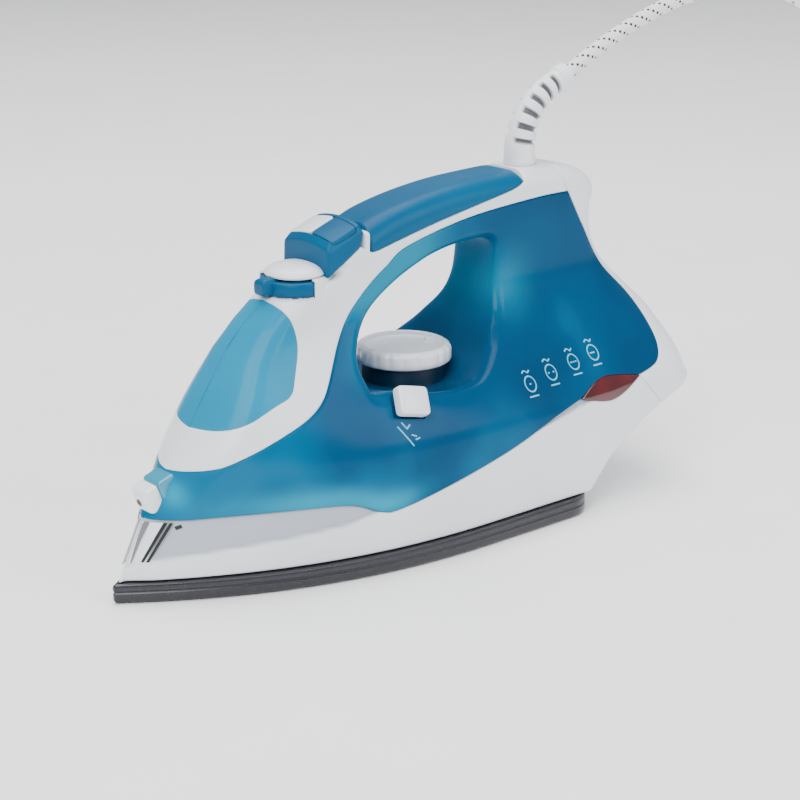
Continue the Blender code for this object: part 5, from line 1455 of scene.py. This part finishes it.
@dataclass
class Handle:
    """White apron and handle, grip inlay and rear cover."""

    lever_station: float = LEVER_STATION
    turret_foot: float = 125.55

    def shell_region(self) -> Region:
        """From the nose up the front leg and back over the opening to the rear cap."""
        high = np.vstack([
            smooth_curve(RIDGE[2:4], 8), smooth_curve(VISOR_BACK, 10), smooth_curve(RIDGE[6:], 8),
            smooth_curve(BLOCK_FOOT, 8), smooth_curve(GRIP_FOOT[::-1], 8), smooth_curve(CAP_TOP, 6),
        ])
        low = smooth_curve(BAND, 12)
        ties = [
            ((28, 53.6), (28, 53.6)), ((40, 69.4), (38, 55.5)), ((50, 72), (51, 60)), ((66, 78.5), (66, 66)),
            ((75, 82), (80, 72)), ((79.5, 89), (89, 78)), ((84, 99), (94, 83.3)), ((84, 107), (98, 88.5)),
            ((80, 117.5), (102, 94)), ((90, 123), (107, 100.5)), ((103.2, 126), (114, 109)),
            ((121, 137), (123, 117.8)),
            ((127, 133.8), (128, 121.8)), ((142, 136.8), (147, 133.5)), ((189, 146.3), (187, 141.6)),
            ((210, 150.2), (208, 143.4)), ((217.5, 152.8), (214, 143.9)), ((218.5, 157.5), (216, 144.1)),
            ((240, 157.5), (245, 145)),
        ]
        return Region(high, low, ties, 1.4, 30)

    def build_shell(self) -> None:
        """Shell, the dome, boss and side wall of the turret that the lever turns in, and the rib before the grip."""
        shell = shell_solid("handle_moulding", self.shell_region())
        place(shell, Body.HOUSING, WHITE_ABS, ["handle_shell"])
        dome = [
            (0, self.turret_foot), (10.5, self.turret_foot), (10.5, 126.4), (13.2, 126.5), (13.2, 127.1),
            (13.7, 127.3), (13.0, 128.4), (11.4, 129.6), (8.8, 130.5), (5.0, 131.0), (0, 131.2),
        ]
        centre = (self.lever_station, 0, 0)
        place(turned("lever_turret", dome, centre, 96, sharp=50), Body.HOUSING, WHITE_ABS)
        boss = [(0, 104), (16.2, 104), (16.2, 117.6), (15.8, 118.3), (15.2, 118.6), (0, 118.6)]
        place(turned("lever_boss", boss, centre, 96, sharp=50), Body.HOUSING, WHITE_ABS)
        wall = [
            (15.7, 117.5), (16.2, 117.5), (16.2, 125.0), (15.8, 126.0), (13.5, 126.4), (13.5, 125.7), (15.7, 125.5),
        ]
        place(turned("lever_wall", wall, centre, 64, sharp=50, span=(84.0, 308.0)), Body.HOUSING, WHITE_ABS)
        rib = rounded_box("grip_rib", (124.3, 0, 138.0), (2.6, 33.0, 10.4), 0.1, np.eye(3), bulge=9)
        place(rib, Body.HOUSING, WHITE_ABS)

    def build_grip(self) -> None:
        """Blue inlay along the top of the handle."""
        top = evenly(smooth_curve(GRIP_TOP, 12), 0.6)
        foot = evenly(smooth_curve(GRIP_FOOT[::-1], 12), 0.6)
        top = np.vstack([[(126.0, 141.0)], top[top[:, 0] > 127.0]])
        ties = [
            ((126.0, 141.0), (127, 133.8)), ((127.8, 145), (129, 133.9)), ((136, 148.3), (142, 136.8)),
            ((163, 154), (165, 141.8)), ((182, 156.2), (189, 146.3)), ((206, 157.3), (210, 150.2)),
            ((215, 157.5), (217.5, 152.8)),
        ]
        grip = shell_solid("grip_moulding", Region(top, foot, ties, 1.4, 30), fillet=0.7)
        place(grip, Body.HOUSING, BLUE_ABS, ["grip_inlay"])

    def build_rear(self) -> None:
        """Rear cover, from the cap down to the heel."""
        back = np.vstack([smooth_curve(REAR, 10), smooth_curve(HEEL_TOP, 8)])
        joint = evenly(np.array([(264, 58.8), (279, 41.4)], float), 1.0)
        front = np.vstack([smooth_curve(TANK_BACK[::-1], 10), [(264, 58.8)], joint])
        ties = [
            ((240, 157.5), (245, 145)), ((262, 150.5), (249.5, 136.5)), ((264, 133), (256, 126)),
            ((274, 108), (266, 110.5)), ((286, 96), (279, 94)), ((297, 84), (283.6, 82)), ((303.5, 70), (284, 75)),
            ((306.15, 57), (279, 63)), ((304.5, 51.5), (270, 60)), ((297, 48.3), (264, 58.8)),
            ((279, 41.4), (279, 41.4)),
        ]
        cover = shell_solid("rear_moulding", Region(back, front, ties, 1.4, 30))
        place(cover, Body.HOUSING, WHITE_ABS, ["rear_cover"])

    def build(self) -> None:
        """Builds the whole handle."""
        self.build_shell()
        self.build_grip()
        self.build_rear()


# ---------------------------------------------------------------- controls

@dataclass
class Controls:
    """Dial and its collar, lever, pump buttons, self-clean button and filler cover."""

    dial_station: float = DIAL_STATION
    dial_radius: float = 21.8
    dial_base: float = 76.6
    dial_top: float = 84.6
    flutes: int = 22
    flute_depth: float = 0.45
    lever_station: float = LEVER_STATION
    lever_radius: float = 15.4
    lever_base: float = 119.0
    lever_thickness: float = 6.2
    button_tilt: float = math.radians(20.8)
    pad_size: tuple[float, float, float] = (14.3, 14.8, 5.0)
    pad_proud: float = 0.5
    block_crown: float = 2.6

    def build_dial(self) -> None:
        """Dial with shallow finger flutes, a raised rim, a dished face and a pointer, on its dark collar."""
        base, top, reach = self.dial_base, self.dial_top, self.dial_radius
        profile = [
            (0, base), (reach - 0.8, base), (reach, base + 0.8), (reach, base + 2.5), (reach, top - 2.6),
            (reach - 0.35, top - 1.5), (reach - 1.1, top - 0.7), (reach - 2.2, top - 0.15), (reach - 3.0, top),
            (reach - 3.6, top - 0.1), (reach - 4.2, top - 0.9), (reach - 4.6, top - 1.7), (reach - 6.0, top - 1.95),
            (reach - 12, top - 1.8), (0, top - 1.7),
        ]

        def fluted(angle: np.ndarray, radius: np.ndarray, height: np.ndarray) -> np.ndarray:
            """Radius less a scallop: depth times the square of a cosine, only on the side wall."""
            wall = smooth_step((radius - reach + 2.4) / 1.6) * smooth_step((height - base - 0.4) / 1.2)
            return radius - self.flute_depth * wall * np.cos(self.flutes * angle / 2) ** 4

        dial = turned("dial_knob", profile, (self.dial_station, 0, 0), 352, fluted, 60)
        place(dial, Body.DIAL, GLOSS_ABS, ["dial"])
        axes = np.eye(3)
        pointer = rounded_box("dial_pointer", (self.dial_station + 15.2, 0, top - 1.2), (5.0, 1.8, 1.8), 0.3, axes)
        place(pointer, Body.DIAL, GLOSS_ABS)
        collar = turned("dial_ring", [(0, 62), (19.2, 62), (19.0, 75.4), (18.6, 76.3), (0, 76.3)],
                        (self.dial_station, 0, 0), 128)
        place(collar, Body.HOUSING, NAVY_ABS, ["dial_collar"])

    def build_lever(self) -> None:
        """Lever: a disc that shows round the turret, and its knob at the front."""
        low, high = self.lever_base, self.lever_base + self.lever_thickness
        reach, round_by = self.lever_radius, 0.7
        profile = [
            (0, low), (reach - round_by, low), (reach, low + round_by), (reach, high - round_by),
            (reach - round_by, high), (0, high),
        ]
        disc = turned("lever_disc", profile, (self.lever_station, 0, 0), 128, sharp=50)
        place(disc, Body.LEVER, BLUE_ABS, ["steam_lever"])
        knob = rounded_box(
            "lever_knob", (self.lever_station - self.lever_radius - 0.2, 0, (low + high) / 2 + 0.6),
            (8.4, 7.6, self.lever_thickness + 1.0), 0.35, np.eye(3), crown=0.6, bulge=4)
        place(knob, Body.LEVER, BLUE_ABS)

    @staticmethod
    def block_slope(s: np.ndarray) -> np.ndarray:
        """Height of the block's sloping top: a straight line from its front edge."""
        return 139.8 + (s - 105.5) * 0.38

    def block_region(self) -> Region:
        """Side view of the button block."""
        high = evenly(np.array([(103.2, 126), (103.2, 137.4), (105.5, 139.8), (121, 145.8)], float), 0.5)
        low = evenly(np.array([(103.2, 126), (121, 137), (122.8, 143), (121, 145.8)], float), 0.5)
        ties = [
            ((103.2, 126), (103.2, 126)), ((103.2, 137.4), (113, 132)), ((105.5, 139.8), (121, 137)),
            ((113, 142.7), (122.8, 143)), ((121, 145.8), (121, 145.8)),
        ]
        return Region(high, low, ties, 0.7, 26)

    def build_buttons(self) -> None:
        """Button block with a room in its sloping top, and the two pads that travel in it."""

        def flank(s: np.ndarray, z: np.ndarray) -> np.ndarray:
            """Straight flanks that draw in over the top and along the front."""
            slope = self.block_slope(s) - 0.8
            return 16.6 - 0.06 * np.clip(z - 130, 0, None) - 0.9 * smooth_step((z - slope + 2.4) / 3.0)

        def crown(points: np.ndarray) -> np.ndarray:
            """Raises the top along the middle: height times one less the square of the share across."""
            slope = self.block_slope(points[:, 0])
            mask = smooth_step((points[:, 2] - slope + 9.0) / 9.0) * (1 - np.clip(points[:, 1] / 16.5, -1, 1) ** 2)
            return points + np.array([0.0, 0.0, 1.0]) * (self.block_crown * mask)[:, None]

        block = shell_solid("button_block", self.block_region(), width=flank, fillet=1.1, sharp=50, across=15)
        tilt = self.button_tilt
        axes = np.array([[math.cos(tilt), 0, math.sin(tilt)], [0, 1, 0], [-math.sin(tilt), 0, math.cos(tilt)]])
        centre = np.array([(105.5 + 119.5) / 2, 0, (139.8 + 145.2) / 2])
        room = rounded_box("button_room", centre + axes[2] * 5.4, (14.9, 30.6, 27.6), 0.0, axes, bulge=40, detail=6)
        carve(block, room)
        bent(block, crown)
        place(block, Body.HOUSING, BLUE_ABS, ["button_housing"])
        length, width, height = self.pad_size
        for side, name, body, finish in (
            (-1, "burst_button", Body.BURST, BLUE_ABS), (1, "spray_button", Body.SPRAY, GLOSS_ABS),
        ):
            middle = centre + axes[2] * (self.pad_proud - height / 2) + np.array([0, side * (width + 0.5) / 2, 0])
            pad = rounded_box(name + "_pad", middle, (length, width, height), 0.1, axes, bulge=12, detail=20)
            place(bent(pad, crown), body, finish, [name])

    def build_clean(self) -> None:
        """Self-clean button: a soft-cornered white pad, turned a little on the flank."""
        centre, axes = Tank().clean_axes()
        pad = rounded_box("clean_pad", centre + axes[2] * 3.05, (15.5, 13.0, 6.5), 0.35, axes, crown=0.5, bulge=5)
        place(pad, Body.CLEAN, GLOSS_ABS, ["self_clean_button"])

    def build_cover(self) -> None:
        """Filler cover: a thin hood over the nose of the apron."""
        front = evenly(smooth_curve(RIDGE[3:7], 12), 0.6)
        back = evenly(smooth_curve(VISOR_BACK, 12), 0.6)
        ties = [
            ((40, 69.4), (40, 69.4)), ((46, 78.5), (60, 76)), ((54, 91), (75, 82)), ((62, 102), (81, 93)),
            ((70, 109.8), (84, 103)), ((80, 117.5), (80, 117.5)),
        ]
        cover = hood("filler_hood", Region(front, back, ties, 1.2, 34), 1.8)
        place(cover, Body.FILLER, COVER_POLYCARBONATE, ["filler_cover"])

    def build(self) -> None:
        """Builds every control."""
        self.build_dial()
        self.build_lever()
        self.build_buttons()
        self.build_clean()
        self.build_cover()


# ---------------------------------------------------------------- carried-over pieces

INSIDE: dict[str, Finish] = {
    "heater_casting": CAST_ALUMINIUM, "heating_element": DRAWN_STEEL, "steam_chamber_cover": DRAWN_STEEL,
    "thermostat": DRAWN_STEEL, "thermal_fuse": RUBBER, "terminal_block": NYLON, "thermostat_shaft": DRAWN_STEEL,
    "steam_valve_rod": NYLON, "burst_plunger": DRAWN_STEEL, "spray_plunger": DRAWN_STEEL, "burst_pump": NYLON,
    "spray_pump": NYLON, "self_clean_stem": DRAWN_STEEL, "filler_hinge_pin": DRAWN_STEEL,
    "rear_cover_screw": DRAWN_STEEL,
}


def dress_inside(nodes: dict) -> None:
    """Gives each carried-over CAD node its finish.

    Args:
        nodes: the frame's objects by name.
    """
    for name, finish in INSIDE.items():
        nodes[name].data.materials.clear()
        nodes[name].data.materials.append(finish.material())
        LOG.info("%s in %s", name, finish.name)


def main() -> None:
    """Builds the scene: camera and lead first, then each sub-assembly."""
    logging.basicConfig(level=logging.INFO, format="%(message)s")
    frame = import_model()
    studio = Studio()
    studio.camera()
    Lead().build()
    studio.floor()
    studio.lights()
    Sole().build()
    Skirt().build()
    Tank().build()
    Handle().build()
    Controls().build()
    dress_inside(frame["nodes"])


if __name__ == "__main__":
    main()
